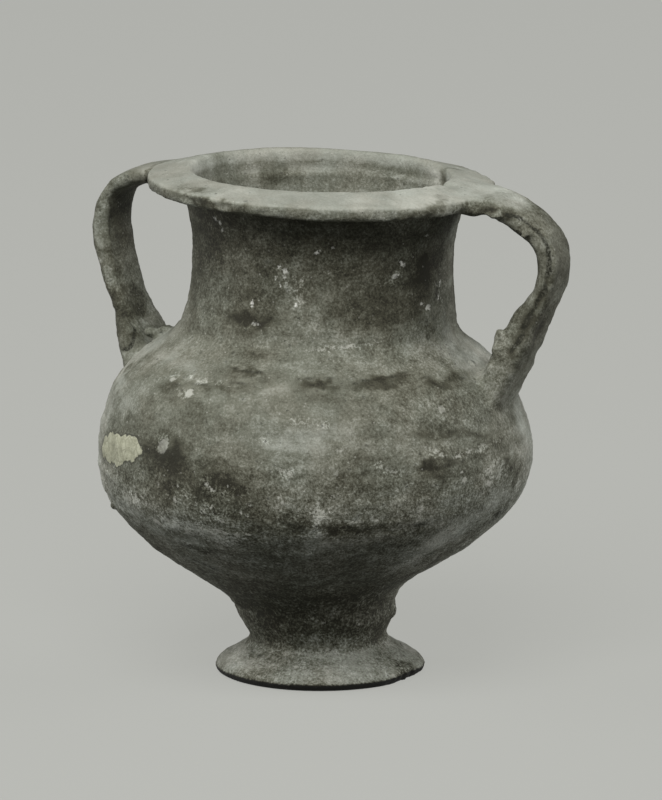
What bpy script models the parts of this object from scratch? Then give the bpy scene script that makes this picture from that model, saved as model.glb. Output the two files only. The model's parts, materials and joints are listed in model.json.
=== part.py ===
"""A small two-handled amphora of fired clay on a spreading foot, hollow, in one piece.

The pot is turned from one closed line that climbs the inside wall, rounds the lip, comes down
the outside and closes under the foot. It then leans and tips a little, as a pot thrown by hand
does. Two flat straps run from the lip to the shoulder and are luted on.
Metres, +Z up. The origin is on the foot's axis, on the ground, and the handles lie along X.
"""

import math

import bmesh
import bpy

MM = 0.001

# Foot: a resting ring around a shallow hollow, under a spreading disc.
FOOT_RADIUS = 30.9 * MM
FOOT_EDGE_HEIGHT = 2.2 * MM
FOOT_REST_RADIUS = 28.2 * MM
FOOT_HOLLOW_RADIUS = 23.4 * MM
FOOT_HOLLOW_DEPTH = 10.0 * MM
CHIP_TURN = math.radians(-8.0)
CHIP_LEAN = math.radians(35.0)
CHIP_LENGTH = 14.0 * MM
CHIP_DEPTH = 2.2 * MM

# Stem, with the soft collar where the body was set on it.
STEM_RADIUS = 20.0 * MM
STEM_HEIGHT = 11.0 * MM
COLLAR_RADIUS = 23.3 * MM
COLLAR_HEIGHT = 18.5 * MM
WAIST_RADIUS = 24.4 * MM
WAIST_HEIGHT = 22.5 * MM

# Body: the underside opens like a bowl and the shoulder breaks in to the neck.
BOWL_RADIUS = 43.2 * MM
BOWL_HEIGHT = 37.0 * MM
BOWL_HOLLOWING = 1.0 * MM
FLANK_RADIUS = 58.2 * MM
FLANK_HEIGHT = 50.0 * MM
BELLY_RADIUS = 63.9 * MM
BELLY_HEIGHT = 66.0 * MM
SHOULDER_RADIUS = 59.0 * MM
SHOULDER_HEIGHT = 85.3 * MM

# Neck: nearly straight, with its narrowest place below the middle.
NECK_FOOT_RADIUS = 41.2 * MM
NECK_FOOT_HEIGHT = 103.0 * MM
NECK_RADIUS = 38.3 * MM
NECK_WAIST_SHARE = 0.48
NECK_TOP_RADIUS = 40.3 * MM

# Lip: a flat collar that slopes down from the mouth to a thin rounded edge.
MOUTH_HEIGHT = 149.6 * MM
MOUTH_RADIUS = 38.4 * MM
LIP_RADIUS = 50.8 * MM
LIP_THICKNESS = 3.1 * MM
LIP_UNDERSIDE_DROP = 6.4 * MM
LIP_UNDERSIDE_HEIGHT = MOUTH_HEIGHT - LIP_UNDERSIDE_DROP
LIP_ROUNDING = 0.9 * MM
MOUTH_ROUNDING = 0.5 * MM

# Walls and the floor of the hollow.
NECK_WALL = 4.3 * MM
BODY_WALL = 5.4 * MM
FLOOR_HEIGHT = 31.0 * MM
FLOOR_CORNER_RISE = 6.0 * MM

# How the axis wanders sideways, and how far the top is out of level.
WANDER_TURN = math.radians(22.5)
WAIST_WANDER = -3.7 * MM
BELLY_WANDER = -1.3 * MM
SHOULDER_WANDER = -2.1 * MM
NECK_WANDER = 1.2 * MM
LIP_WANDER = 0.3 * MM
LIP_TILT = math.radians(1.9)
TILT_START_HEIGHT = 95.0 * MM

# Handles: both sit a few degrees behind the X axis.
HANDLE_TURN = math.radians(5.0)
HANDLE_LAP = 5.0 * MM
RIGHT_REACH = 70.9 * MM
RIGHT_REACH_DROP = 17.2 * MM
RIGHT_REACH_HEIGHT = LIP_UNDERSIDE_HEIGHT - RIGHT_REACH_DROP
RIGHT_ROOT_HEIGHT = 86.5 * MM
RIGHT_STRAP_WIDTH = 17.5 * MM
RIGHT_STRAP_THICKNESS = 5.4 * MM
LEFT_REACH = 69.4 * MM
LEFT_REACH_DROP = 13.2 * MM
LEFT_REACH_HEIGHT = LIP_UNDERSIDE_HEIGHT - LEFT_REACH_DROP
LEFT_ROOT_HEIGHT = 84.5 * MM
LEFT_STRAP_WIDTH = 18.0 * MM
LEFT_STRAP_THICKNESS = 5.8 * MM
JOINT_WIDTH = 29.0 * MM
ROOT_WIDTH = 25.0 * MM
ROOT_SINK = 4.5 * MM
STRAP_WIDTH_POWER = 0.5
STRAP_THICKNESS_POWER = 0.6

TURN_STEPS = 48
PROFILE_STEP = 4.6 * MM
STRAP_STEP = 4.5 * MM
STRAP_SIDES = 14
MERGE = 0.00001


def smooth_line(points, step):
    """Points along a smooth curve through the given ones, at most one step apart."""
    ends = [
        tuple(2 * a - b for a, b in zip(points[0], points[1])),
        tuple(2 * a - b for a, b in zip(points[-1], points[-2])),
    ]
    run = [ends[0]] + list(points) + [ends[1]]
    line = []
    for before, start, end, after in zip(run, run[1:], run[2:], run[3:]):
        pieces = max(1, math.ceil(math.dist(start[:2], end[:2]) / step))
        for i in range(pieces):
            t = i / pieces
            line.append(
                tuple(
                    0.5 * (2 * q + (r - p) * t + (2 * p - 5 * q + 4 * r - s) * t**2)
                    + 0.5 * (3 * q - p - 3 * r + s) * t**3
                    for p, q, r, s in zip(before, start, end, after)
                )
            )
    line.append(tuple(points[-1]))
    return line


def between(stations, height):
    """The value at a height, read along straight stretches between (height, value) stations."""
    if height <= stations[0][0]:
        return stations[0][1]
    for (low, first), (high, last) in zip(stations, stations[1:]):
        if height <= high:
            return first + (last - first) * (height - low) / (high - low)
    return stations[-1][1]


def outside_line():
    """(radius, height) from the foot's edge up to the neck's top, as turned."""
    foot_slope = 0.55 * FOOT_RADIUS + 0.45 * STEM_RADIUS
    foot_slope_height = FOOT_EDGE_HEIGHT + 0.45 * (STEM_HEIGHT - FOOT_EDGE_HEIGHT)
    cup = 0.5 * (WAIST_RADIUS + BOWL_RADIUS) - BOWL_HOLLOWING
    cup_height = 0.5 * (WAIST_HEIGHT + BOWL_HEIGHT)
    brow = 0.55 * SHOULDER_RADIUS + 0.45 * NECK_FOOT_RADIUS
    brow_height = 0.47 * SHOULDER_HEIGHT + 0.53 * NECK_FOOT_HEIGHT
    neck_length = LIP_UNDERSIDE_HEIGHT - NECK_FOOT_HEIGHT
    neck_height = NECK_FOOT_HEIGHT + NECK_WAIST_SHARE * neck_length
    return smooth_line(
        [
            (FOOT_RADIUS, FOOT_EDGE_HEIGHT),
            (foot_slope, foot_slope_height),
            (STEM_RADIUS + 0.7 * MM, STEM_HEIGHT - 1.8 * MM),
            (STEM_RADIUS + 0.1 * MM, STEM_HEIGHT + 0.8 * MM),
            (COLLAR_RADIUS, COLLAR_HEIGHT),
            (WAIST_RADIUS, WAIST_HEIGHT),
            (cup, cup_height),
            (BOWL_RADIUS, BOWL_HEIGHT),
            (FLANK_RADIUS, FLANK_HEIGHT),
            (BELLY_RADIUS, BELLY_HEIGHT),
            (SHOULDER_RADIUS, SHOULDER_HEIGHT),
            (brow, brow_height),
            (NECK_FOOT_RADIUS, NECK_FOOT_HEIGHT),
            (NECK_RADIUS, neck_height),
            (NECK_TOP_RADIUS, LIP_UNDERSIDE_HEIGHT - 1.0 * MM),
        ],
        PROFILE_STEP,
    )


OUTSIDE = outside_line()


def outside_radius(height):
    return between([(z, r) for r, z in OUTSIDE], height)


def wall_across(height):
    """The wall measured level, so that it keeps its true thickness where it slopes."""
    reach = 2.0 * MM
    slope = outside_radius(height + reach) - outside_radius(height - reach)
    blend = between([(SHOULDER_HEIGHT, 0.0), (NECK_FOOT_HEIGHT, 1.0)], height)
    wall = BODY_WALL + (NECK_WALL - BODY_WALL) * blend
    return wall * math.hypot(1.0, slope / (2 * reach))


def inside_line(share):
    """(radius, height) up the hollow, with that share of the wall left outside it."""
    floor = FLOOR_HEIGHT - (1 - share) * BODY_WALL
    start = FLOOR_HEIGHT + FLOOR_CORNER_RISE
    top = LIP_UNDERSIDE_HEIGHT - 4.0 * MM
    rows = 16
    line = []
    for i in range(rows + 1):
        z = start + (top - start) * i / rows
        line.append((outside_radius(z) - share * wall_across(z), z))
    bowl = line[0][0]
    line[:0] = [
        (0.0, floor),
        (0.45 * bowl, floor + 0.07 * FLOOR_CORNER_RISE),
        (0.8 * bowl, floor + 0.37 * FLOOR_CORNER_RISE),
    ]
    return line


def lip_line():
    """(radius, height) from the mouth's inner edge over the lip to its underside."""
    bottom = LIP_UNDERSIDE_HEIGHT
    top = bottom + LIP_THICKNESS
    return [
        (MOUTH_RADIUS - MOUTH_ROUNDING, MOUTH_HEIGHT - 2.4 * MOUTH_ROUNDING),
        (MOUTH_RADIUS + MOUTH_ROUNDING, MOUTH_HEIGHT),
        (LIP_RADIUS - LIP_ROUNDING, top),
        (LIP_RADIUS, top - 0.3 * LIP_THICKNESS),
        (LIP_RADIUS - 0.2 * LIP_ROUNDING, bottom + 0.3 * LIP_THICKNESS),
        (LIP_RADIUS - 1.7 * LIP_ROUNDING, bottom),
        (0.8 * NECK_TOP_RADIUS + 0.2 * LIP_RADIUS, bottom),
    ]


def underside_line():
    """(radius, height) from the foot's edge to the middle of its hollow."""
    return [
        (FOOT_RADIUS - 0.6 * MM, 0.3 * FOOT_EDGE_HEIGHT),
        (FOOT_REST_RADIUS, 0.0),
        (FOOT_HOLLOW_RADIUS, 0.0),
        (0.8 * FOOT_HOLLOW_RADIUS, 0.45 * FOOT_HOLLOW_DEPTH),
        (0.4 * FOOT_HOLLOW_RADIUS, 0.9 * FOOT_HOLLOW_DEPTH),
        (0.0, FOOT_HOLLOW_DEPTH),
    ]


def wander(height):
    return between(
        [
            (FOOT_EDGE_HEIGHT, 0.0),
            (COLLAR_HEIGHT, 0.33 * WAIST_WANDER),
            (WAIST_HEIGHT, 0.6 * WAIST_WANDER),
            (0.5 * (COLLAR_HEIGHT + BOWL_HEIGHT), WAIST_WANDER),
            (BELLY_HEIGHT, BELLY_WANDER),
            (0.5 * (SHOULDER_HEIGHT + NECK_FOOT_HEIGHT), SHOULDER_WANDER),
            (NECK_FOOT_HEIGHT + 8.0 * MM, 0.4 * NECK_WANDER),
            (LIP_UNDERSIDE_HEIGHT - 4.0 * MM, NECK_WANDER),
            (MOUTH_HEIGHT, LIP_WANDER),
        ],
        height,
    )


def settle(x, y, z):
    """Where a point of the turned pot ends once the pot leans and its top is out of level."""
    across = x * math.cos(WANDER_TURN) + y * math.sin(WANDER_TURN)
    tipped = between([(TILT_START_HEIGHT, 0.0), (LIP_UNDERSIDE_HEIGHT, 1.0)], z)
    shift = wander(z)
    return (
        x + shift * math.cos(WANDER_TURN),
        y + shift * math.sin(WANDER_TURN),
        z - math.tan(LIP_TILT) * across * tipped,
    )


def new_collection(name):
    collection = bpy.data.collections.new(name)
    bpy.context.scene.collection.children.link(collection)
    return collection


def clay():
    material = bpy.data.materials.new("fired_clay")
    material.use_nodes = True
    shader = material.node_tree.nodes["Principled BSDF"]
    shader.inputs["Base Color"].default_value = (0.155, 0.15, 0.13, 1.0)
    shader.inputs["Roughness"].default_value = 0.85
    shader.inputs["Metallic"].default_value = 0.0
    return material


def made_solid(name, source, collection):
    """A plain mesh object made from another object as it looks with its modifiers."""
    bpy.context.view_layer.update()
    graph = bpy.context.evaluated_depsgraph_get()
    mesh = bpy.data.meshes.new_from_object(source.evaluated_get(graph))
    solid = bpy.data.objects.new(name, mesh)
    collection.objects.link(solid)
    bpy.data.objects.remove(source)
    return solid


def turned(name, line, collection):
    """Turns a line about Z with a Screw, then lets the result settle."""
    mesh = bpy.data.meshes.new(name + "_line")
    edges = [(i, i + 1) for i in range(len(line) - 1)]
    mesh.from_pydata([(r, 0.0, z) for r, z in line], edges, [])
    profile = bpy.data.objects.new(name + "_line", mesh)
    collection.objects.link(profile)
    screw = profile.modifiers.new("turn", "SCREW")
    screw.axis = "Z"
    screw.steps = TURN_STEPS
    screw.render_steps = TURN_STEPS
    screw.use_merge_vertices = True
    screw.merge_threshold = MERGE
    solid = made_solid(name, profile, collection)
    for vertex in solid.data.vertices:
        vertex.co = settle(*vertex.co)
    return solid


def strap(name, stations, turn, collection):
    """A flat strap with rounded sides, lofted through (reach, height, width, thickness)."""
    path = smooth_line(stations, STRAP_STEP)
    side = (-math.sin(turn), math.cos(turn))
    mesh = bmesh.new()
    rings = []
    for i, (reach, height, width, thickness) in enumerate(path):
        back = path[max(i - 1, 0)]
        ahead = path[min(i + 1, len(path) - 1)]
        run = math.atan2(ahead[1] - back[1], ahead[0] - back[0])
        ring = []
        for k in range(STRAP_SIDES):
            turned_by = 2 * math.pi * (k + 0.5) / STRAP_SIDES
            c = math.cos(turned_by)
            s = math.sin(turned_by)
            across = math.copysign(abs(c) ** STRAP_WIDTH_POWER, c) * width / 2
            out = math.copysign(abs(s) ** STRAP_THICKNESS_POWER, s) * thickness / 2
            r = reach - out * math.sin(run)
            x = r * math.cos(turn) + across * side[0]
            y = r * math.sin(turn) + across * side[1]
            ring.append(mesh.verts.new((x, y, height + out * math.cos(run))))
        rings.append(ring)
    for first, second in zip(rings, rings[1:]):
        for k in range(STRAP_SIDES):
            after = (k + 1) % STRAP_SIDES
            mesh.faces.new((first[k], first[after], second[after], second[k]))
    mesh.faces.new(reversed(rings[0]))
    mesh.faces.new(rings[-1])
    bmesh.ops.recalc_face_normals(mesh, faces=mesh.faces)
    data = bpy.data.meshes.new(name)
    mesh.to_mesh(data)
    mesh.free()
    piece = bpy.data.objects.new(name, data)
    collection.objects.link(piece)
    return piece


def right_stations():
    edge = LIP_RADIUS
    lip = LIP_UNDERSIDE_HEIGHT + 0.5 * LIP_THICKNESS - math.tan(LIP_TILT) * LIP_RADIUS
    width = RIGHT_STRAP_WIDTH
    thick = RIGHT_STRAP_THICKNESS
    root = outside_radius(RIGHT_ROOT_HEIGHT) - ROOT_SINK
    drop = RIGHT_REACH_HEIGHT - RIGHT_ROOT_HEIGHT
    span = RIGHT_REACH - root
    bend = RIGHT_REACH - 0.13 * (RIGHT_REACH - edge)
    return [
        (edge - HANDLE_LAP, lip + 1.0 * MM, JOINT_WIDTH, 0.75 * thick),
        (edge + 3.0 * MM, lip, 0.8 * JOINT_WIDTH, 0.95 * thick),
        (edge + 10.8 * MM, lip - 0.23 * RIGHT_REACH_DROP, 1.15 * width, 1.15 * thick),
        (bend, RIGHT_REACH_HEIGHT + 0.45 * RIGHT_REACH_DROP, 1.05 * width, 1.25 * thick),
        (RIGHT_REACH, RIGHT_REACH_HEIGHT, 1.03 * width, 1.18 * thick),
        (root + 0.865 * span, RIGHT_ROOT_HEIGHT + 0.78 * drop, width, thick),
        (root + 0.59 * span, RIGHT_ROOT_HEIGHT + 0.575 * drop, 1.05 * width, 1.15 * thick),
        (root + 0.34 * span, RIGHT_ROOT_HEIGHT + 0.36 * drop, 0.9 * ROOT_WIDTH, 1.5 * thick),
        (root + 0.15 * span, RIGHT_ROOT_HEIGHT + 0.15 * drop, ROOT_WIDTH, 1.8 * thick),
        (root, RIGHT_ROOT_HEIGHT, 1.04 * ROOT_WIDTH, 1.8 * thick),
    ]


def left_stations():
    edge = LIP_RADIUS
    lip = LIP_UNDERSIDE_HEIGHT + 0.5 * LIP_THICKNESS + math.tan(LIP_TILT) * LIP_RADIUS
    width = LEFT_STRAP_WIDTH
    thick = LEFT_STRAP_THICKNESS
    root = outside_radius(LEFT_ROOT_HEIGHT) - ROOT_SINK
    drop = LEFT_REACH_HEIGHT - LEFT_ROOT_HEIGHT
    span = LEFT_REACH - root
    bend = LEFT_REACH - 0.14 * (LEFT_REACH - edge)
    return [
        (edge - HANDLE_LAP, lip - 0.4 * MM, 0.95 * JOINT_WIDTH, 0.8 * thick),
        (edge + 2.7 * MM, lip - 1.4 * MM, 0.75 * JOINT_WIDTH, 0.85 * thick),
        (edge + 9.4 * MM, lip - 0.25 * LEFT_REACH_DROP, 1.08 * width, 0.95 * thick),
        (bend, LEFT_REACH_HEIGHT + 0.68 * LEFT_REACH_DROP, width, 0.88 * thick),
        (LEFT_REACH, LEFT_REACH_HEIGHT, width, 0.94 * thick),
        (root + 0.91 * span, LEFT_ROOT_HEIGHT + 0.8 * drop, width, thick),
        (root + 0.79 * span, LEFT_ROOT_HEIGHT + 0.65 * drop, width, thick),
        (root + 0.53 * span, LEFT_ROOT_HEIGHT + 0.43 * drop, 1.05 * width, 1.07 * thick),
        (root + 0.33 * span, LEFT_ROOT_HEIGHT + 0.26 * drop, 0.88 * ROOT_WIDTH, 1.35 * thick),
        (root + 0.12 * span, LEFT_ROOT_HEIGHT + 0.1 * drop, ROOT_WIDTH, 1.6 * thick),
        (root, LEFT_ROOT_HEIGHT, 1.04 * ROOT_WIDTH, 1.6 * thick),
    ]


def foot_chip(collection):
    """A block whose leaning inner face breaks a short length off the foot's lower edge."""
    bpy.ops.mesh.primitive_cube_add(size=1.0)
    cutter = bpy.context.object
    cutter.name = "foot_chip"
    reach = 4 * CHIP_DEPTH
    for vertex in cutter.data.vertices:
        vertex.co.x = (vertex.co.x + 0.5) * reach
        vertex.co.y *= CHIP_LENGTH
        vertex.co.z *= 3 * reach
    face = FOOT_RADIUS - CHIP_DEPTH
    cutter.location = (face * math.cos(CHIP_TURN), face * math.sin(CHIP_TURN), 0.5 * FOOT_EDGE_HEIGHT)
    cutter.rotation_euler = (0.0, CHIP_LEAN, CHIP_TURN)
    for home in cutter.users_collection:
        home.objects.unlink(cutter)
    collection.objects.link(cutter)
    return cutter


def combine(target, operation, other, label):
    modifier = target.modifiers.new(label, "BOOLEAN")
    modifier.operation = operation
    modifier.solver = "EXACT"
    modifier.object = other


def main():
    for old in list(bpy.data.objects):
        bpy.data.objects.remove(old)
    pot_parts = new_collection("amphoriskos_parts")
    helpers = new_collection("helpers")

    shell = inside_line(1.0) + lip_line() + OUTSIDE[::-1] + underside_line()
    pot = turned("amphoriskos", shell, pot_parts)

    middle = inside_line(0.5)
    top = MOUTH_HEIGHT + 12.0 * MM
    throat = middle[-1][0]
    core_line = [(0.0, top), (throat, top)] + middle[::-1]
    core = turned("core", core_line, helpers)

    straps = [
        ("right_strap", right_stations(), HANDLE_TURN),
        ("left_strap", left_stations(), math.pi - HANDLE_TURN),
    ]
    for name, stations, turn in straps:
        piece = strap(name, stations, turn, helpers)
        combine(piece, "DIFFERENCE", core, "stop_in_wall")
        combine(pot, "UNION", piece, "join_" + name)
    combine(pot, "DIFFERENCE", foot_chip(helpers), "chip_foot")

    pot.data.materials.append(clay())
    pot.data.shade_smooth()
    pot.data.set_sharp_from_angle(angle=math.radians(50.0))
    for helper in helpers.objects:
        helper.hide_render = True
        helper.display_type = "WIRE"


main()
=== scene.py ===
# %% [markdown]
# # A small handled jar of fired clay
# The real jar was thrown on a wheel in one piece with its foot, and its two strap handles were
# pulled from wet clay and pressed on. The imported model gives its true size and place, and this
# lesson builds the surface that a visitor would see: hand-thrown unevenness, chips, dirt and lime.

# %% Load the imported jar
import json
import math

import bmesh
import bpy
import numpy as np
from mathutils import Matrix, Vector

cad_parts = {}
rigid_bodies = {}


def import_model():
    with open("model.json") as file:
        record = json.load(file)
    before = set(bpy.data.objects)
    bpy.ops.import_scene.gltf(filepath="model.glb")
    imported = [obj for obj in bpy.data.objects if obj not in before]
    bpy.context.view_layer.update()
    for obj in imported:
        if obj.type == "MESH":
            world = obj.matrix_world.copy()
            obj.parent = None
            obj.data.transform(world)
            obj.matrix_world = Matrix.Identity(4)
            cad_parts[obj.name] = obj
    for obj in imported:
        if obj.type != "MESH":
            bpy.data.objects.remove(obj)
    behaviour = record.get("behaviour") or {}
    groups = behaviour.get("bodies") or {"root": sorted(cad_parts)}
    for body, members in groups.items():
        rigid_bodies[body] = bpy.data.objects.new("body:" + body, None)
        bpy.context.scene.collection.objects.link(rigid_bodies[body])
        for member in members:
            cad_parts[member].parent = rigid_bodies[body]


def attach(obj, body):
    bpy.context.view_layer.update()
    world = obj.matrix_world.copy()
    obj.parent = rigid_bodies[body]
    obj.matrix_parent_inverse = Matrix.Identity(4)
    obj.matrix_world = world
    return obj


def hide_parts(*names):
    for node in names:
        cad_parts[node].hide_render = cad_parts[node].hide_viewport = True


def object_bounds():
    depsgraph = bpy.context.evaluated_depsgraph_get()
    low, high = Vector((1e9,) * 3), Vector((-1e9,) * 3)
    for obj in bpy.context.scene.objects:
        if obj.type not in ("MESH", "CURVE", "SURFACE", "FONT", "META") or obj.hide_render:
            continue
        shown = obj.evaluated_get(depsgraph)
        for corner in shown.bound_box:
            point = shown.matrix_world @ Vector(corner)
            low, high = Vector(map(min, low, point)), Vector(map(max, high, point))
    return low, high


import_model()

CAD_BOX = [list(corner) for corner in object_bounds()]
MM = 0.001
print("packed box, mm:", [[round(1000 * v, 1) for v in corner] for corner in CAD_BOX])

# %% [markdown]
# ## Camera
# A jar looks calm and true through a long lens from a few steps away. The camera looks down a
# little, so that the slope of the lip shows all round the mouth, and the frame is upright.

# %% Camera
VIEW_TURN = math.radians(22.5)
VIEW_RISE = math.radians(11.3)
VIEW_DISTANCE = 2.25
AIM = Vector((0.0, 0.0, 0.075))
toward = Vector(
    (
        math.sin(VIEW_TURN) * math.cos(VIEW_RISE),
        -math.cos(VIEW_TURN) * math.cos(VIEW_RISE),
        math.sin(VIEW_RISE),
    )
)
lens = bpy.data.cameras.new("camera")
lens.lens = 345.0
lens.sensor_width = 36.0
lens.shift_x = 0.01375
lens.shift_y = 0.025
lens.clip_end = 60.0
camera = bpy.data.objects.new("camera", lens)
camera.location = AIM + VIEW_DISTANCE * toward
camera.rotation_euler = toward.to_track_quat("Z", "Y").to_euler()
bpy.context.scene.collection.objects.link(camera)
bpy.context.scene.camera = camera
print("camera at", [round(v, 3) for v in camera.location])

# %% [markdown]
# ## The turned line
# A potter's profile is the whole design of a thrown pot. Here it is a few dozen radii, from the
# foot up, and a smooth curve through them. The radii come from fitting a turned shape to the jar's
# outline in its photograph. The wall keeps its thickness where it slopes, so the inside follows
# from the outside.

# %% Helpers for smooth lines


def smooth_line(points, step):
    """Points along a smooth curve through the given ones, at most one step apart."""
    ends = [
        tuple(2 * a - b for a, b in zip(points[0], points[1])),
        tuple(2 * a - b for a, b in zip(points[-1], points[-2])),
    ]
    run = [ends[0]] + list(points) + [ends[1]]
    line = []
    for before, start, end, after in zip(run, run[1:], run[2:], run[3:]):
        pieces = max(1, math.ceil(math.dist(start[:2], end[:2]) / step))
        for i in range(pieces):
            t = i / pieces
            line.append(
                tuple(
                    0.5 * (2 * q + (r - p) * t + (2 * p - 5 * q + 4 * r - s) * t**2)
                    + 0.5 * (3 * q - p - 3 * r + s) * t**3
                    for p, q, r, s in zip(before, start, end, after)
                )
            )
    line.append(tuple(points[-1]))
    return line


# %% Outside, from the foot's edge to under the lip, as (height, radius) in millimetres
OUTSIDE_MM = [
    (2.2, 31.0),
    (3.5, 29.9),
    (5.0, 27.9),
    (6.5, 24.9),
    (8.0, 22.4),
    (9.5, 20.7),
    (11.0, 20.0),
    (12.5, 20.3),
    (14.0, 21.1),
    (16.0, 22.3),
    (18.5, 23.3),
    (21.0, 23.7),
    (23.5, 25.0),
    (26.0, 27.5),
    (28.5, 30.5),
    (31.0, 34.1),
    (34.0, 38.7),
    (37.0, 43.2),
    (41.0, 48.6),
    (45.0, 53.2),
    (50.0, 58.1),
    (55.0, 61.5),
    (60.0, 63.2),
    (65.0, 63.7),
    (70.0, 63.5),
    (75.0, 62.6),
    (80.0, 60.9),
    (85.0, 59.1),
    (90.0, 55.8),
    (95.0, 50.9),
    (99.0, 45.3),
    (103.0, 41.2),
    (107.0, 40.0),
    (112.0, 39.0),
    (118.0, 38.4),
    (124.0, 38.3),
    (130.0, 38.3),
    (135.0, 39.2),
    (139.0, 40.2),
    (142.2, 41.2),
]
LINE_STEP = 1.2
outside = smooth_line([(r, z) for z, r in OUTSIDE_MM], LINE_STEP)
OUT_Z = np.array([z for r, z in outside])
OUT_R = np.array([r for r, z in outside])
print("outside line:", len(outside), "points, widest", round(OUT_R.max(), 1), "mm")

# %% Inside, lip and underside
NECK_WALL = 4.3
BODY_WALL = 5.4
SHOULDER_HEIGHT = 85.3
NECK_FOOT_HEIGHT = 103.0
FLOOR_HEIGHT = 31.0
FLOOR_CORNER = 37.0
INSIDE_TOP = 139.0
INSIDE_ROWS = 60


def wall_across(z):
    """The wall measured level, so that it keeps its true thickness where it slopes."""
    reach = 2.0
    slope = np.interp(z + reach, OUT_Z, OUT_R) - np.interp(z - reach, OUT_Z, OUT_R)
    blend = np.interp(z, (SHOULDER_HEIGHT, NECK_FOOT_HEIGHT), (0.0, 1.0))
    wall = BODY_WALL + (NECK_WALL - BODY_WALL) * blend
    return wall * math.hypot(1.0, slope / (2 * reach))


hollow = []
for z in np.linspace(FLOOR_CORNER, INSIDE_TOP, INSIDE_ROWS):
    hollow.append((np.interp(z, OUT_Z, OUT_R) - wall_across(z), z))
corner = hollow[0][0]
floor_line = smooth_line(
    [(0.0, FLOOR_HEIGHT), (0.45 * corner, 31.4), (0.8 * corner, 33.2), hollow[0]],
    LINE_STEP,
)
lip_line = smooth_line(
    [
        hollow[-1],
        (37.0, 144.0),
        (37.7, 148.2),
        (38.6, 149.4),
        (39.8, 149.3),
        (49.7, 147.0),
        (50.7, 146.6),
        (51.0, 145.4),
        (50.9, 144.0),
        (50.2, 142.9),
        (44.0, 142.8),
        outside[-1],
    ],
    0.6,
)
under_line = smooth_line(
    [
        outside[0],
        (30.7, 1.0),
        (29.8, 0.3),
        (28.2, 0.0),
        (23.6, 0.0),
        (19.0, 4.4),
        (9.5, 9.0),
        (0.0, 10.0),
    ],
    LINE_STEP,
)
turned_line = floor_line[:-1] + hollow[:-1] + lip_line[:-1] + outside[::-1] + under_line[1:]
print("closed line:", len(turned_line), "points")

# %% [markdown]
# ## Throwing the body
# The line becomes a chain of edges and `bmesh.ops.spin` turns it once round, as the wheel does.
# A hand-thrown pot is never quite true: the axis wanders, and the lip dips to one side. So every
# point then settles sideways by its height, and the top tips by a degree or two.

# %% Turn the line about its axis
TURN_STEPS = 240
WANDER_TURN = VIEW_TURN
WANDER_Z = (2.2, 18.5, 22.5, 28.0, 66.0, 94.0, 111.0, 139.0, 149.6)
WANDER_MM = (0.0, -1.2, -2.2, -3.7, -1.3, -2.1, 0.5, 1.2, 0.3)
LIP_TILT = math.radians(1.9)
TILT_FROM = 95.0
TILT_TO = 143.2


def settle(points):
    """Lets turned points, in millimetres, lean and tip as the real jar does."""
    shift = np.interp(points[:, 2], WANDER_Z, WANDER_MM)
    ahead = np.array((math.cos(WANDER_TURN), math.sin(WANDER_TURN)))
    across = points[:, :2] @ ahead
    tipped = np.interp(points[:, 2], (TILT_FROM, TILT_TO), (0.0, 1.0))
    moved = points.copy()
    moved[:, :2] += shift[:, None] * ahead
    moved[:, 2] -= math.tan(LIP_TILT) * across * tipped
    return moved


shape = bmesh.new()
chain = [shape.verts.new((r, 0.0, z)) for r, z in turned_line]
for start, end in zip(chain, chain[1:]):
    shape.edges.new((start, end))
bmesh.ops.spin(
    shape,
    geom=shape.verts[:] + shape.edges[:],
    cent=(0, 0, 0),
    axis=(0, 0, 1),
    angle=2 * math.pi,
    steps=TURN_STEPS,
    use_merge=True,
)
bmesh.ops.remove_doubles(shape, verts=shape.verts[:], dist=0.0001)
bmesh.ops.recalc_face_normals(shape, faces=shape.faces[:])
settled = settle(np.array([v.co for v in shape.verts]))
for vertex, place in zip(shape.verts, settled):
    vertex.co = place
print("thrown body:", len(shape.faces), "faces, volume", round(shape.calc_volume() / 1000), "cm3")

# %% [markdown]
# ## Pulling the handles
# Each handle is a strap that leaves the lip, bends over and lands on the shoulder. Rings from
# `create_circle` are pressed into a flat section with round edges, set along the strap's path and
# bridged one to the next. A shallow groove runs down the outer face, where a finger drew it.

# %% Strap stations: reach, height, width, thickness in millimetres
HANDLE_TURN = math.radians(5.0)
RIGHT_STATIONS = [
    (45.8, 144.2, 29.0, 4.6),
    (53.8, 142.8, 23.6, 5.6),
    (61.6, 138.8, 20.2, 6.6),
    (68.2, 133.6, 18.4, 7.2),
    (71.1, 126.0, 18.0, 7.2),
    (69.4, 117.4, 17.5, 6.8),
    (64.6, 109.2, 18.4, 8.6),
    (60.6, 100.8, 22.4, 9.8),
    (56.6, 92.4, 24.6, 10.2),
    (53.9, 86.5, 26.0, 9.8),
]
LEFT_STATIONS = [
    (45.8, 146.0, 27.6, 4.6),
    (53.5, 145.0, 21.8, 5.0),
    (60.2, 143.1, 19.4, 5.5),
    (66.5, 139.0, 17.0, 4.5),
    (69.4, 130.0, 18.0, 5.5),
    (68.3, 120.9, 18.0, 5.5),
    (66.5, 114.1, 17.2, 5.2),
    (62.7, 104.0, 17.0, 5.2),
    (59.6, 96.3, 22.0, 8.0),
    (56.5, 89.0, 25.0, 9.4),
    (54.8, 84.5, 26.0, 9.4),
]
RING_SIDES = 40
RING_STEP = 1.4
GROOVE_DEPTH = 0.55
GROOVE_PLACE = -0.42
GROOVE_WIDTH = 0.2


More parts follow.
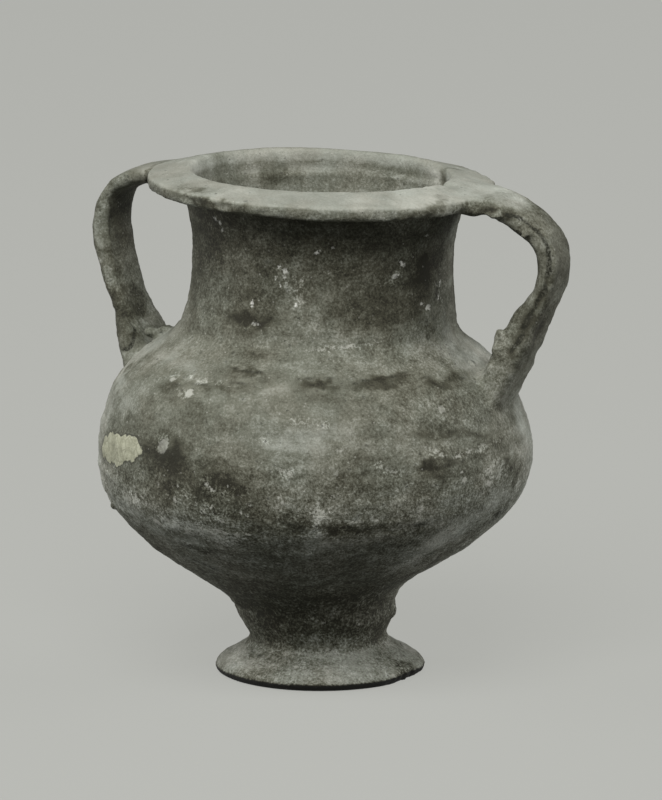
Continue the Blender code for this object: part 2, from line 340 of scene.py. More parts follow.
def press_ring(ring, centre, run, width, thick, turn, groove):
    """Moves a round ring's points into one flat section of the strap."""
    for vertex in ring:
        c, s = vertex.co.x, vertex.co.y
        across = math.copysign(abs(c) ** 0.5, c)
        out = math.copysign(abs(s) ** 0.6, s) * thick / 2
        if s > 0:
            out -= groove * math.exp(-(((across - GROOVE_PLACE) / GROOVE_WIDTH) ** 2))
        reach = centre[0] - out * math.sin(run)
        height = centre[1] + out * math.cos(run)
        side = across * width / 2
        vertex.co = (
            reach * math.cos(turn) - side * math.sin(turn),
            reach * math.sin(turn) + side * math.cos(turn),
            height,
        )


def pull_strap(mesh, stations, turn, face):
    """A strap handle of pressed rings; face is 1 where its grooved face looks up at the lip."""
    path = smooth_line(stations, RING_STEP)
    rings = []
    for i, (reach, height, width, thick) in enumerate(path):
        back = path[max(i - 1, 0)]
        ahead = path[min(i + 1, len(path) - 1)]
        run = math.atan2(ahead[1] - back[1], ahead[0] - back[0])
        made = bmesh.ops.create_circle(mesh, segments=RING_SIDES, radius=1.0, cap_ends=False)
        share = i / (len(path) - 1)
        groove = face * GROOVE_DEPTH * min(1.0, max(0.0, (share - 0.3) / 0.15))
        press_ring(made["verts"], (reach, height), run, width, thick, turn, groove)
        rings.append(made["verts"])
    for first, second in zip(rings, rings[1:]):
        edges = {e for v in first + second for e in v.link_edges}
        ends = [
            e for e in edges if any(all(v in ring for v in e.verts) for ring in (first, second))
        ]
        bmesh.ops.bridge_loops(mesh, edges=ends)
    for ring in (rings[0], rings[-1]):
        bmesh.ops.contextual_create(mesh, geom=ring)


for stations, turn, face in (
    (RIGHT_STATIONS, HANDLE_TURN, 1.0),
    (LEFT_STATIONS, math.pi - HANDLE_TURN, 0.6),
):
    strap = bmesh.new()
    pull_strap(strap, stations, turn, face)
    bmesh.ops.recalc_face_normals(strap, faces=strap.faces[:])
    print("strap volume", round(strap.calc_volume() / 1000, 1), "cm3")
    carrier = bpy.data.meshes.new("strap")
    strap.to_mesh(carrier)
    strap.free()
    shape.from_mesh(carrier)
    bpy.data.meshes.remove(carrier)

# %% [markdown]
# ## Clay pressed into the joints
# Wet clay squeezes out where a handle is luted on, and the potter only smears it. Small balls,
# flattened and sunk in the surface, stand for those squeezes before everything becomes one skin.

# %% Lumps of luting clay: place, half sizes in millimetres, and turn about the vertical
LUMPS = [
    ((57.6, -3.4, 104.2), (1.7, 2.4, 2.6), 0.0),
    ((57.2, -4.2, 101.0), (1.6, 2.2, 2.4), 0.0),
    ((56.0, 10.5, 99.0), (2.2, 3.0, 2.8), 0.0),
    ((51.0, -5.5, 141.4), (4.2, 5.0, 1.5), 0.2),
    ((57.0, -5.5, 140.4), (2.6, 3.0, 1.2), 0.0),
    ((46.0, -8.5, 142.4), (4.6, 5.5, 1.3), 0.0),
    ((52.0, 10.0, 141.2), (4.6, 5.0, 1.6), 0.1),
    ((65.9, -5.4, 135.2), (1.3, 2.4, 1.1), 0.4),
    ((-47.4, -4.2, 99.6), (2.0, 2.4, 1.3), 0.0),
    ((-51.8, -4.6, 98.4), (2.6, 2.4, 1.5), 0.0),
    ((-60.2, -3.6, 94.6), (2.0, 2.2, 2.8), 0.0),
    ((-56.0, 12.0, 95.0), (3.0, 3.0, 2.8), 0.2),
    ((-50.5, 8.0, 143.0), (3.8, 6.0, 1.5), 0.0),
    ((-52.0, -2.0, 143.2), (3.0, 4.2, 1.2), 0.0),
]
for place, size, turn in LUMPS:
    turned = Matrix.Translation(place) @ Matrix.Rotation(turn, 4, "Z")
    pressed = turned @ Matrix.Diagonal((*size, 1.0))
    bmesh.ops.create_icosphere(shape, subdivisions=3, radius=1.0, matrix=pressed)
bmesh.ops.scale(shape, vec=(MM, MM, MM), verts=shape.verts[:])
print("lumps:", len(LUMPS))

# %% [markdown]
# ## One skin
# Fired clay is one body, so the parts are melted together. A voxel remesh does that without the
# thin slivers of a Boolean, and leaves even faces that can be pushed about like clay. Smoothing
# only along the seams turns their creases into the soft fillets that wet fingers leave.

# %% Melt the parts together
VOXEL = 0.75 * MM


def object_from(mesh_data, name):
    made = bpy.data.objects.new(name, mesh_data)
    bpy.context.scene.collection.objects.link(made)
    return made


def as_seen(source):
    """The mesh that an object's modifiers give."""
    graph = bpy.context.evaluated_depsgraph_get()
    return bpy.data.meshes.new_from_object(source.evaluated_get(graph))


raw = bpy.data.meshes.new("raw_jar")
shape.to_mesh(raw)
shape.free()
raw_jar = object_from(raw, "raw_jar")
melt = raw_jar.modifiers.new("melt", "REMESH")
melt.mode = "VOXEL"
melt.voxel_size = VOXEL
skin = as_seen(raw_jar)
bpy.data.objects.remove(raw_jar)


def points_of(mesh_data):
    found = np.empty(len(mesh_data.vertices) * 3)
    mesh_data.vertices.foreach_get("co", found)
    return found.reshape(-1, 3)


def normals_of(mesh_data):
    found = np.empty(len(mesh_data.vertices) * 3)
    mesh_data.vertices.foreach_get("normal", found)
    return found.reshape(-1, 3)


def move_points(mesh_data, places):
    mesh_data.vertices.foreach_set("co", places.ravel())
    mesh_data.update()


print("skin:", len(skin.vertices), "points")

# %% Soften the seams
points = points_of(skin) / MM
leaned = points.copy()
ahead = np.array((math.cos(WANDER_TURN), math.sin(WANDER_TURN)))
leaned[:, :2] -= np.interp(points[:, 2], WANDER_Z, WANDER_MM)[:, None] * ahead
radius = np.hypot(leaned[:, 0], leaned[:, 1])
angle = np.degrees(np.arctan2(points[:, 1], points[:, 0]))
turned_radius = np.interp(points[:, 2], OUT_Z, OUT_R)
SEAM_REACH = 2.6
RIGHT_HANDLE_AT = 5.0
LEFT_HANDLE_AT = 175.0
near_side = np.minimum(abs(angle - RIGHT_HANDLE_AT), abs(angle - LEFT_HANDLE_AT))
near_side = np.minimum(near_side, 360.0 - near_side)
by_wall = abs(radius - turned_radius) < SEAM_REACH
on_root = (points[:, 2] < 106.0) & (points[:, 2] > 78.0) & by_wall
on_lip = (points[:, 2] > 138.0) & (radius > 44.0) & (radius < 58.0)
handle_side = (near_side < 24.0) & (on_root | on_lip)
edges = np.empty(len(skin.edges) * 2, np.int64)
skin.edges.foreach_get("vertices", edges)
edges = edges.reshape(-1, 2)
links = np.bincount(edges.ravel(), minlength=len(points))


def relax(places, chosen, rounds, share=0.5):
    """Moves chosen points towards the middle of their neighbours."""
    places = places.copy()
    for _ in range(rounds):
        total = np.zeros_like(places)
        for k in range(3):
            total[:, k] = np.bincount(edges[:, 0], places[edges[:, 1], k], len(places))
            total[:, k] += np.bincount(edges[:, 1], places[edges[:, 0], k], len(places))
        middle = total / links[:, None]
        places[chosen] += share * (middle - places)[chosen]
    return places


points = relax(points, np.ones(len(points), bool), 2)
points = relax(points, handle_side, 10)
move_points(skin, points * MM)
print("softened points:", int(handle_side.sum()))

# %% [markdown]
# ## Hand, wheel and wear
# Relief that catches light belongs in the mesh. Waves of a few millimetres stand for the fingers'
# rings and for dents, and single marks are pressed in where the real jar has them: a groove round
# the shoulder, chips on the lip and the foot, pits and grit.

# %% Soft waves and placed spots


def waves(places, length, seed, stretch=(1.0, 1.0, 1.0), count=24):
    """A smooth uneven field about -1 to 1, made of sine waves in seeded directions."""
    draw = np.random.default_rng(seed)
    ways = draw.normal(size=(count, 3))
    ways /= np.linalg.norm(ways, axis=1)[:, None]
    ways *= (2 * math.pi / length) * draw.uniform(0.6, 1.5, count)[:, None]
    ways *= np.array(stretch)
    phases = draw.uniform(0, 2 * math.pi, count)
    return np.sin(places @ ways.T + phases).sum(axis=1) / math.sqrt(count)


def surface_place(at_angle, height):
    """The point on the outside at an angle, with its east and north ways."""
    turn = math.radians(at_angle)
    r = float(np.interp(height, OUT_Z, OUT_R))
    rise = float(np.interp(height + 1, OUT_Z, OUT_R) - np.interp(height - 1, OUT_Z, OUT_R)) / 2
    if height > 143.2:
        r = 50.8 - max(0.0, height - 146.4) * 12.0 / 3.2
        rise = -12.0 / 3.2 if height > 146.4 else 0.0
    flat = settle(np.array([(r * math.cos(turn), r * math.sin(turn), height)]))[0]
    out = np.array((math.cos(turn), math.sin(turn), 0.0))
    east = np.array((-math.sin(turn), math.cos(turn), 0.0))
    north = out * rise + np.array((0.0, 0.0, 1.0))
    north /= np.linalg.norm(north)
    return flat, east, north


def spot(places, at, half_wide, half_high, tilt=0.0):
    """1 at a spot's middle, 0 at its rim, negative outside; at is (angle, height) or a point."""
    if len(at) == 2:
        centre, east, north = surface_place(*at)
    else:
        centre = np.array(at, float)
        turn = math.atan2(centre[1], centre[0])
        east = np.array((-math.sin(turn), math.cos(turn), 0.0))
        north = np.array((0.0, 0.0, 1.0))
    c, s = math.cos(math.radians(tilt)), math.sin(math.radians(tilt))
    away = places - centre
    along = away @ (c * east + s * north) / half_wide
    up = away @ (c * north - s * east) / half_high
    deep = np.linalg.norm(away, axis=1) / (1.5 + 2.0 * max(half_wide, half_high))
    return 1.0 - np.maximum(np.hypot(along, up), deep)


def stroke(places, line, half_wide):
    """1 on a line through points, in millimetres, 0 at half a width from it, negative beyond."""
    nearest = np.full(len(places), 1e9)
    for start, end in zip(np.array(line[:-1], float), np.array(line[1:], float)):
        run = end - start
        share = np.clip((places - start) @ run / (run @ run), 0.0, 1.0)
        gap = np.linalg.norm(places - start - share[:, None] * run, axis=1)
        nearest = np.minimum(nearest, gap)
    return 1.0 - nearest / half_wide


# %% Press the relief into the skin
points = points_of(skin) / MM
normals = normals_of(skin)
height = points[:, 2]
radius = np.hypot(points[:, 0], points[:, 1])
turned_radius = np.interp(height, OUT_Z, OUT_R)
outward = (normals[:, :2] * points[:, :2]).sum(axis=1) / np.maximum(radius, 1.0)
inside = (radius < turned_radius - 2.0) & (height > 29.0) & (outward < 0.3)
beyond_wall = (radius > turned_radius + 2.5) & (abs(points[:, 0]) > 40.0)
strap_part = beyond_wall & (height > 80.0) & (height < 143.0)
lean_phase = 0.35 * waves(points, 90.0, 3)
rings = np.sin(2 * math.pi * height / 5.6 + lean_phase)
rings += 0.6 * np.sin(2 * math.pi * height / 3.3 + 1.0)
rings *= 0.6 + 0.4 * waves(points, 60.0, 4)
lift = 0.28 * waves(points, 46.0, 11) + 0.10 * waves(points, 13.0, 12)
lift += 0.05 * waves(points, 5.0, 13)
lift += 0.05 * waves(points, 3.0, 14, (1.0, 1.0, 2.2))
lift += np.where(inside, 0.26, 0.07) * rings * ~strap_part
lift += np.where(strap_part, 0.14, 0.0) * waves(points, 7.0, 15)
lip_edge = (height > 141.5) & (height < 147.0) & (radius > 49.6) & (abs(points[:, 0]) < 46.0)
lift += np.where(lip_edge, 0.16, 0.0) * (waves(points, 5.0, 17) + 0.8 * waves(points, 2.6, 18))
joints = spot(points, (52.0, 0.0, 142.0), 12.0, 6.0) + 0.5
joints = np.clip(np.maximum(joints, spot(points, (-52.0, 0.0, 96.0), 14.0, 14.0) + 0.5), 0, 1)
joints = np.maximum(joints, np.clip(spot(points, (56.0, 2.0, 98.0), 14.0, 12.0) + 0.5, 0, 1))
angle = np.degrees(np.arctan2(points[:, 1], points[:, 0]))
GROOVE_LINE = (
    (-125.0, 94.2),
    (-112.0, 94.8),
    (-66.0, 96.1),
    (-43.0, 96.5),
    (-14.0, 93.4),
    (-4.0, 92.4),
)
groove_height = np.interp(angle, *zip(*GROOVE_LINE))
groove_share = np.interp(angle, (-128.0, -116.0, -20.0, -6.0), (0.0, 1.0, 1.0, 0.0))
groove_share *= radius < turned_radius + 4.0
lift -= 0.32 * groove_share * np.exp(-(((height - groove_height) / 0.8) ** 2))
lift += 0.15 * joints * waves(points, 4.2, 16)
lift *= np.clip((height - 0.4) / 1.5, 0.0, 1.0)
lift *= np.where(height > 142.5, 0.55, 1.0)
print("relief, mm:", round(lift.min(), 2), "to", round(lift.max(), 2))

# %% Named marks in the relief: place, half width, half height, tilt, depth (up is positive)
DENTS = [
    ((-0.5, 95.8), 1.2, 2.2, 35.0, -0.7),
    ((-112.3, 75.9), 2.2, 2.8, -30.0, -0.5),
    ((-130.5, 72.2), 6.3, 5.2, 0.0, 0.35),
    ((-143.3, 52.4), 1.6, 1.4, 0.0, 0.8),
    ((-4.8, 52.3), 2.4, 1.4, 20.0, -0.6),
    ((-94.6, 147.6), 1.2, 1.0, 0.0, -0.5),
    ((-118.0, 145.0), 4.0, 1.6, 0.0, -0.5),
    ((-101.0, 144.6), 5.0, 1.4, 0.0, -0.4),
    ((-60.3, 104.3), 5.0, 0.8, 8.0, 0.25),
    ((-46.9, 37.7), 1.3, 1.3, 0.0, -0.5),
    ((-28.0, 41.0), 8.0, 0.8, 28.0, 0.3),
    ((12.0, 18.7), 3.0, 2.4, 0.0, 0.6),
    ((10.0, 10.8), 4.0, 1.2, 0.0, 0.6),
    ((27.0, 5.9), 4.0, 1.0, -20.0, -0.4),
    ((-132.0, 22.9), 5.0, 1.4, 0.0, 0.5),
]
# Creases, as lines through points: half width, depth
RIGHT_CREASE = [
    (72.1, -2.4, 128.6),
    (72.4, -2.3, 124.5),
    (71.8, -2.1, 121.2),
    (70.9, -2.3, 118.5),
    (69.7, -2.4, 116.1),
    (67.2, -2.9, 111.6),
    (65.1, -4.0, 107.2),
    (63.8, -5.2, 103.5),
    (62.4, -5.6, 100.8),
]
RIGHT_BEND = [
    (60.0, -5.6, 141.2),
    (63.8, -3.4, 140.2),
    (66.7, -2.8, 138.2),
    (69.7, -2.6, 135.2),
    (71.5, -2.3, 132.3),
    (72.1, -2.4, 128.6),
]
RIGHT_RIDGE = [
    (70.0, -3.3, 120.5),
    (67.6, -3.7, 116.0),
    (65.1, -4.3, 111.5),
    (62.4, -5.6, 107.1),
    (61.0, -6.6, 103.6),
]
LEFT_EDGE = [
    (-67.0, -1.8, 134.6),
    (-67.6, -1.2, 130.9),
    (-67.1, -1.5, 126.8),
    (-66.1, -1.6, 122.0),
    (-64.9, -1.5, 117.3),
    (-63.5, -1.9, 112.1),
]
# Line of the left handle's side face, painted lighter as a lit side.
LEFT_LIT_SIDE = [
    (-68.7, -2.9, 134.1),
    (-69.1, -2.8, 129.8),
    (-69.2, -2.8, 125.6),
    (-68.1, -3.1, 121.0),
    (-66.8, -3.1, 116.2),
    (-65.4, -3.3, 111.6),
]
LEFT_RING = [
    (-62.1, -4.4, 101.8),
    (-60.0, -4.0, 101.9),
    (-58.5, -3.2, 100.3),
    (-57.6, -3.1, 98.3),
    (-57.4, -5.0, 96.2),
    (-57.9, -6.0, 94.3),
    (-59.0, -6.5, 92.8),
    (-60.8, -6.1, 92.0),
]
LEFT_SEAM = [(-52.2, -6.6, 146.4), (-52.1, -6.9, 145.0), (-52.8, -5.3, 142.9)]
CREASES = [
    (RIGHT_CREASE, 1.4, -0.4),
    (RIGHT_RIDGE, 1.4, 0.4),
    (RIGHT_BEND, 1.0, -0.3),
    (LEFT_RING, 0.9, -0.3),
    (LEFT_EDGE, 1.2, 0.4),
    (LEFT_SEAM, 1.0, -0.5),
]
for at, half_wide, half_high, tilt, depth in DENTS:
    lift += depth * np.clip(1.6 * spot(points, at, half_wide, half_high, tilt), 0, 1)
for line, half_wide, depth in CREASES:
    lift += depth * np.clip(1.4 * stroke(points, line, half_wide), 0, 1)
points += normals * lift[:, None]
lip_chip = np.clip(spot(points, (36.6, -1.2, 148.6), 3.4, 3.0), 0, 1)
points[:, 2] -= 1.7 * lip_chip
points[:, 0] += 1.2 * lip_chip

CHIP_TURN = math.radians(-8.0)
CHIP_LEAN = math.radians(35.0)
CHIP_FACE = 28.7
chip_way = np.array(
    (
        math.cos(CHIP_TURN) * math.cos(CHIP_LEAN),
        math.sin(CHIP_TURN) * math.cos(CHIP_LEAN),
        -math.sin(CHIP_LEAN),
    )
)
chip_at = np.array((CHIP_FACE * math.cos(CHIP_TURN), CHIP_FACE * math.sin(CHIP_TURN), 1.1))
over = (points - chip_at) @ chip_way - 0.25 * waves(points, 3.0, 21)
over[(height > 8.0) | (radius < 24.0)] = 0.0
points -= np.clip(over, 0.0, None)[:, None] * chip_way
low, high = (np.array(corner) / MM for corner in CAD_BOX)
points = np.clip(points, low, high)
move_points(skin, points * MM)

# %% [markdown]
# ## Where the jar is pale, dark and dirty, and where light and shade are painted
# Wear, stains and the painted light and shade aren't spread evenly, so each mark has its own
# place.
# Most of the places were picked by eye on the jar's photograph and turned by a helper script into
# the angles, heights and points below.
# Each point of the mesh carries a few numbers: how light the clay is there, and how deep it lies
# inside a lime fleck or a dark patch. Part of the lightness is painted light and shade: shade
# under the lip, on the stem, in the creases and at the foot's edge, a lit side on the left handle,
# lighter flanks, and highlights on the belly, neck and handles.
# The shader turns these soft fields into ragged edges by adding fine noise before it cuts them.

# %% Marks seen on the jar: angle, height, half width, half height, tilt (degrees, millimetres)
PALE_MARKS = [
    (-119.7, 138.2, 1.3, 0.6, -32),
    (-116.7, 137.4, 0.8, 0.6, -50),
    (-115.6, 135.4, 0.6, 0.8, -30),
    (-84.1, 125.8, 1.0, 0.8, 0),
    (-86.8, 126.8, 0.5, 0.3, -30),
    (-84.4, 123.8, 0.4, 0.9, 0),
    (-85.7, 121.4, 0.3, 0.6, 0),
    (-88.1, 123.5, 0.6, 0.3, 0),
    (-99.1, 115.4, 0.7, 1.3, 0),
    (-78.8, 116.0, 0.6, 0.5, 0),
    (-31.4, 127.7, 1.6, 0.7, -38),
    (-34.7, 124.1, 1.2, 0.6, 15),
    (-19.2, 135.5, 0.7, 0.5, 0),
    (-15.3, 113.5, 1.6, 0.9, 0),
    (-19.6, 114.8, 0.9, 0.6, 0),
    (-63.5, 133.2, 0.4, 0.4, 0),
    (-70.3, 131.6, 0.4, 1.0, -60),
    (-4.8, 119.7, 0.7, 1.1, 0),
    (-6.7, 115.4, 0.5, 1.0, 0),
    (-96.5, 109.9, 1.5, 0.2, 0),
    (-66.6, 103.6, 2.7, 0.3, 1),
    (-61.5, 104.1, 0.9, 0.8, 0),
    (-55.8, 104.4, 3.2, 0.3, 6),
    (-72.2, 103.3, 0.5, 0.4, 0),
    (-112.0, 76.2, 2.2, 2.5, -34),
    (-108.0, 91.1, 1.5, 1.6, 10),
    (-118.3, 93.8, 1.5, 0.9, 0),
    (-28.2, 87.1, 1.3, 1.5, 30),
    (-76.3, 72.7, 1.3, 0.8, 0),
    (-74.0, 71.8, 1.2, 0.8, -15),
    (-48.4, 72.5, 1.1, 0.6, -30),
    (-49.9, 73.6, 1.3, 0.4, -25),
    (-46.5, 71.6, 1.2, 0.4, -12),
    (-26.2, 69.3, 1.0, 0.7, 0),
    (-25.2, 66.8, 1.0, 1.0, 0),
    (-28.4, 66.1, 0.6, 0.4, 0),
    (-15.0, 64.0, 1.5, 1.1, 0),
    (-17.3, 61.5, 0.7, 0.4, 0),
    (-33.7, 76.3, 1.2, 0.4, -35),
    (-32.1, 75.0, 1.5, 0.4, -25),
    (-26.5, 73.9, 2.3, 0.3, 5),
    (-21.9, 74.7, 2.0, 0.3, 16),
    (-15.9, 75.5, 2.5, 0.5, 5),
    (-61.8, 71.8, 0.3, 1.3, 0),
    (-61.9, 68.0, 0.4, 0.3, 0),
    (-60.9, 78.3, 1.1, 0.6, 0),
    (-38.5, 60.0, 1.3, 0.4, 12),
    (-55.2, 57.6, 1.2, 0.5, 0),
    (-57.3, 57.5, 1.8, 0.3, 0),
    (-62.9, 65.2, 1.3, 0.3, -5),
    (-46.0, 66.4, 0.6, 0.5, 0),
    (-95.0, 66.0, 1.0, 0.4, -10),
    (-96.7, 67.4, 0.9, 0.3, 0),
    (-90.5, 67.6, 0.5, 0.4, 0),
    (-84.7, 62.4, 0.7, 0.4, 0),
    (-76.9, 64.8, 0.5, 0.5, 0),
    (-75.9, 63.5, 0.4, 0.4, 0),
    (-99.8, 61.5, 0.6, 0.5, 0),
    (-97.3, 59.3, 0.7, 0.6, 0),
    (-95.0, 60.8, 0.4, 0.8, -30),
    (-85.2, 58.9, 0.4, 0.6, -20),
    (-86.9, 59.7, 0.5, 0.3, 0),
    (-92.2, 56.6, 1.5, 0.4, -22),
    (-112.7, 65.0, 0.5, 0.7, 0),
    (-105.6, 65.7, 0.6, 0.5, 0),
    (-117.8, 58.4, 1.8, 0.3, 0),
    (-122.4, 59.2, 0.7, 2.3, -20),
    (-124.9, 58.4, 0.6, 2.4, -22),
    (-106.5, 61.4, 1.0, 1.1, 0),
    (-110.7, 54.3, 1.0, 1.0, 0),
    (-115.5, 53.0, 1.9, 1.3, -20),
    (-103.9, 51.1, 2.7, 1.3, -8),
    (-94.0, 53.3, 1.7, 1.0, 0),
    (-92.0, 52.7, 0.8, 1.3, 0),
    (-88.7, 52.7, 1.3, 0.8, 0),
    (-85.4, 53.1, 1.3, 0.5, -10),
    (-89.2, 50.2, 1.3, 0.7, -10),
    (-95.7, 47.0, 0.4, 1.1, 0),
    (-32.5, 39.5, 3.8, 1.1, -2),
    (-28.8, 40.4, 1.8, 1.4, 18),
    (-29.8, 42.4, 1.0, 2.3, 30),
    (-29.0, 44.5, 2.3, 1.1, 45),
    (-25.1, 45.8, 1.6, 0.9, 28),
    (-18.2, 40.4, 1.0, 3.3, 30),
    (-78.1, 42.6, 1.5, 0.6, -15),
    (-46.4, 37.6, 0.5, 1.0, 0),
    (-47.3, 33.7, 0.6, 0.9, 30),
    (-21.3, 27.1, 0.7, 1.0, 35),
    (-91.4, 28.5, 0.4, 0.8, 0),
    (-61.0, 19.1, 0.4, 0.4, 0),
    (-34.4, 17.7, 0.4, 0.4, 0),
    (-58.2, 10.2, 1.0, 0.5, 0),
    (-82.0, 6.3, 1.9, 0.5, 0),
    (30.6, 5.5, 3.3, 3.2, -38),
    (-21.9, 3.1, 0.9, 0.8, -30),
]
DARK_MARKS = [
    (1.8, 96.0, 1.3, 1.0, -62),
    (-102.7, 101.7, 0.9, 0.7, 20),
    (-66.1, 93.9, 0.4, 0.4, 0),
    (-118.5, 100.7, 0.7, 0.6, 0),
    (-43.0, 105.9, 0.5, 0.4, 0),
    (-76.3, 69.0, 0.5, 0.4, 0),
    (-2.5, 51.7, 4.5, 3.0, 22),
    (-96.9, 98.2, 1.5, 0.7, -8),
    (-92.0, 97.7, 2.4, 0.9, -6),
    (-87.4, 97.7, 1.8, 0.9, -2),
    (-68.9, 96.7, 2.0, 0.4, 2),
    (-62.8, 96.8, 2.0, 0.3, 0),
    (-53.8, 95.4, 1.5, 0.9, 0),
    (-49.9, 96.0, 2.4, 1.0, 4),
    (-40.1, 96.5, 2.6, 0.8, 4),
    (-34.6, 97.0, 2.5, 0.5, 4),
    (-28.0, 95.3, 2.8, 0.3, 2),
    (-12.2, 93.4, 2.4, 0.4, -8),
    (-106.0, 93.7, 5.2, 0.7, 1),
    (-114.5, 92.7, 3.5, 0.5, 0),
    (-92.0, 95.1, 4.2, 0.4, 2),
    (-35.8, 73.7, 2.0, 0.5, 0),
    (-25.4, 72.3, 1.5, 0.7, 30),
    (-62.8, 53.8, 2.3, 0.8, 4),
    (-47.7, 54.3, 3.7, 0.7, 3),
    (-46.3, 51.8, 2.0, 0.6, 20),
    (-38.0, 54.6, 3.6, 1.1, 18),
    (-49.0, 49.8, 1.7, 0.8, 20),
    (-73.4, 56.7, 2.3, 0.8, -4),
    (-71.0, 55.3, 2.0, 0.8, -6),
    (-84.5, 57.1, 5.4, 0.7, -6),
    (-24.1, 42.6, 1.7, 0.7, 35),
    (-21.4, 43.9, 1.3, 0.8, 30),
    (-23.9, 41.1, 0.9, 0.6, 28),
    (-37.0, 41.3, 2.6, 1.0, 2),
    (-11.6, 37.2, 2.3, 4.1, 28),
    (-111.5, 73.2, 2.0, 0.6, 20),
    (-109.9, 45.5, 2.4, 1.5, -10),
    (-8.6, 117.3, 0.9, 2.3, 0),
    (-16.2, 105.1, 1.0, 1.6, -20),
    (-16.5, 109.2, 0.9, 1.4, 0),
    (-12.2, 110.2, 0.8, 1.4, 0),
    (-92.0, 127.9, 2.5, 0.5, 0),
    (-83.0, 120.3, 0.4, 1.5, 0),
    (-116.0, 7.5, 1.5, 0.8, 0),
    (-127.9, 8.0, 2.8, 0.7, -20),
    (-82.1, 11.8, 1.2, 0.6, 0),
    (-64.7, 7.9, 0.9, 0.4, 0),
    (-94.6, 7.9, 1.2, 0.5, 0),
    (31.0, 5.8, 2.8, 0.5, -36),
    (6.6, 5.9, 0.7, 0.8, 0),
    (-16.7, 77.8, 1.3, 0.6, 0),
    (-12.8, 76.3, 2.0, 0.5, 20),
    (-10.9, 73.9, 0.8, 1.2, 0),
    (-93.9, 146.9, 0.7, 1.0, 0),
    (-41.1, 149.6, 0.9, 0.7, 0),
    (-118.0, 100.5, 0.5, 0.5, 0),
    (-109.6, 38.5, 6.1, 1.3, -30),
    (29.6, 6.2, 2.4, 2.1, -32),
    (-87.3, 144.8, 1.5, 0.5, -5),
    (-95.0, 145.3, 1.6, 0.5, -8),
    (-111.3, 145.3, 2.2, 1.0, -14),
]
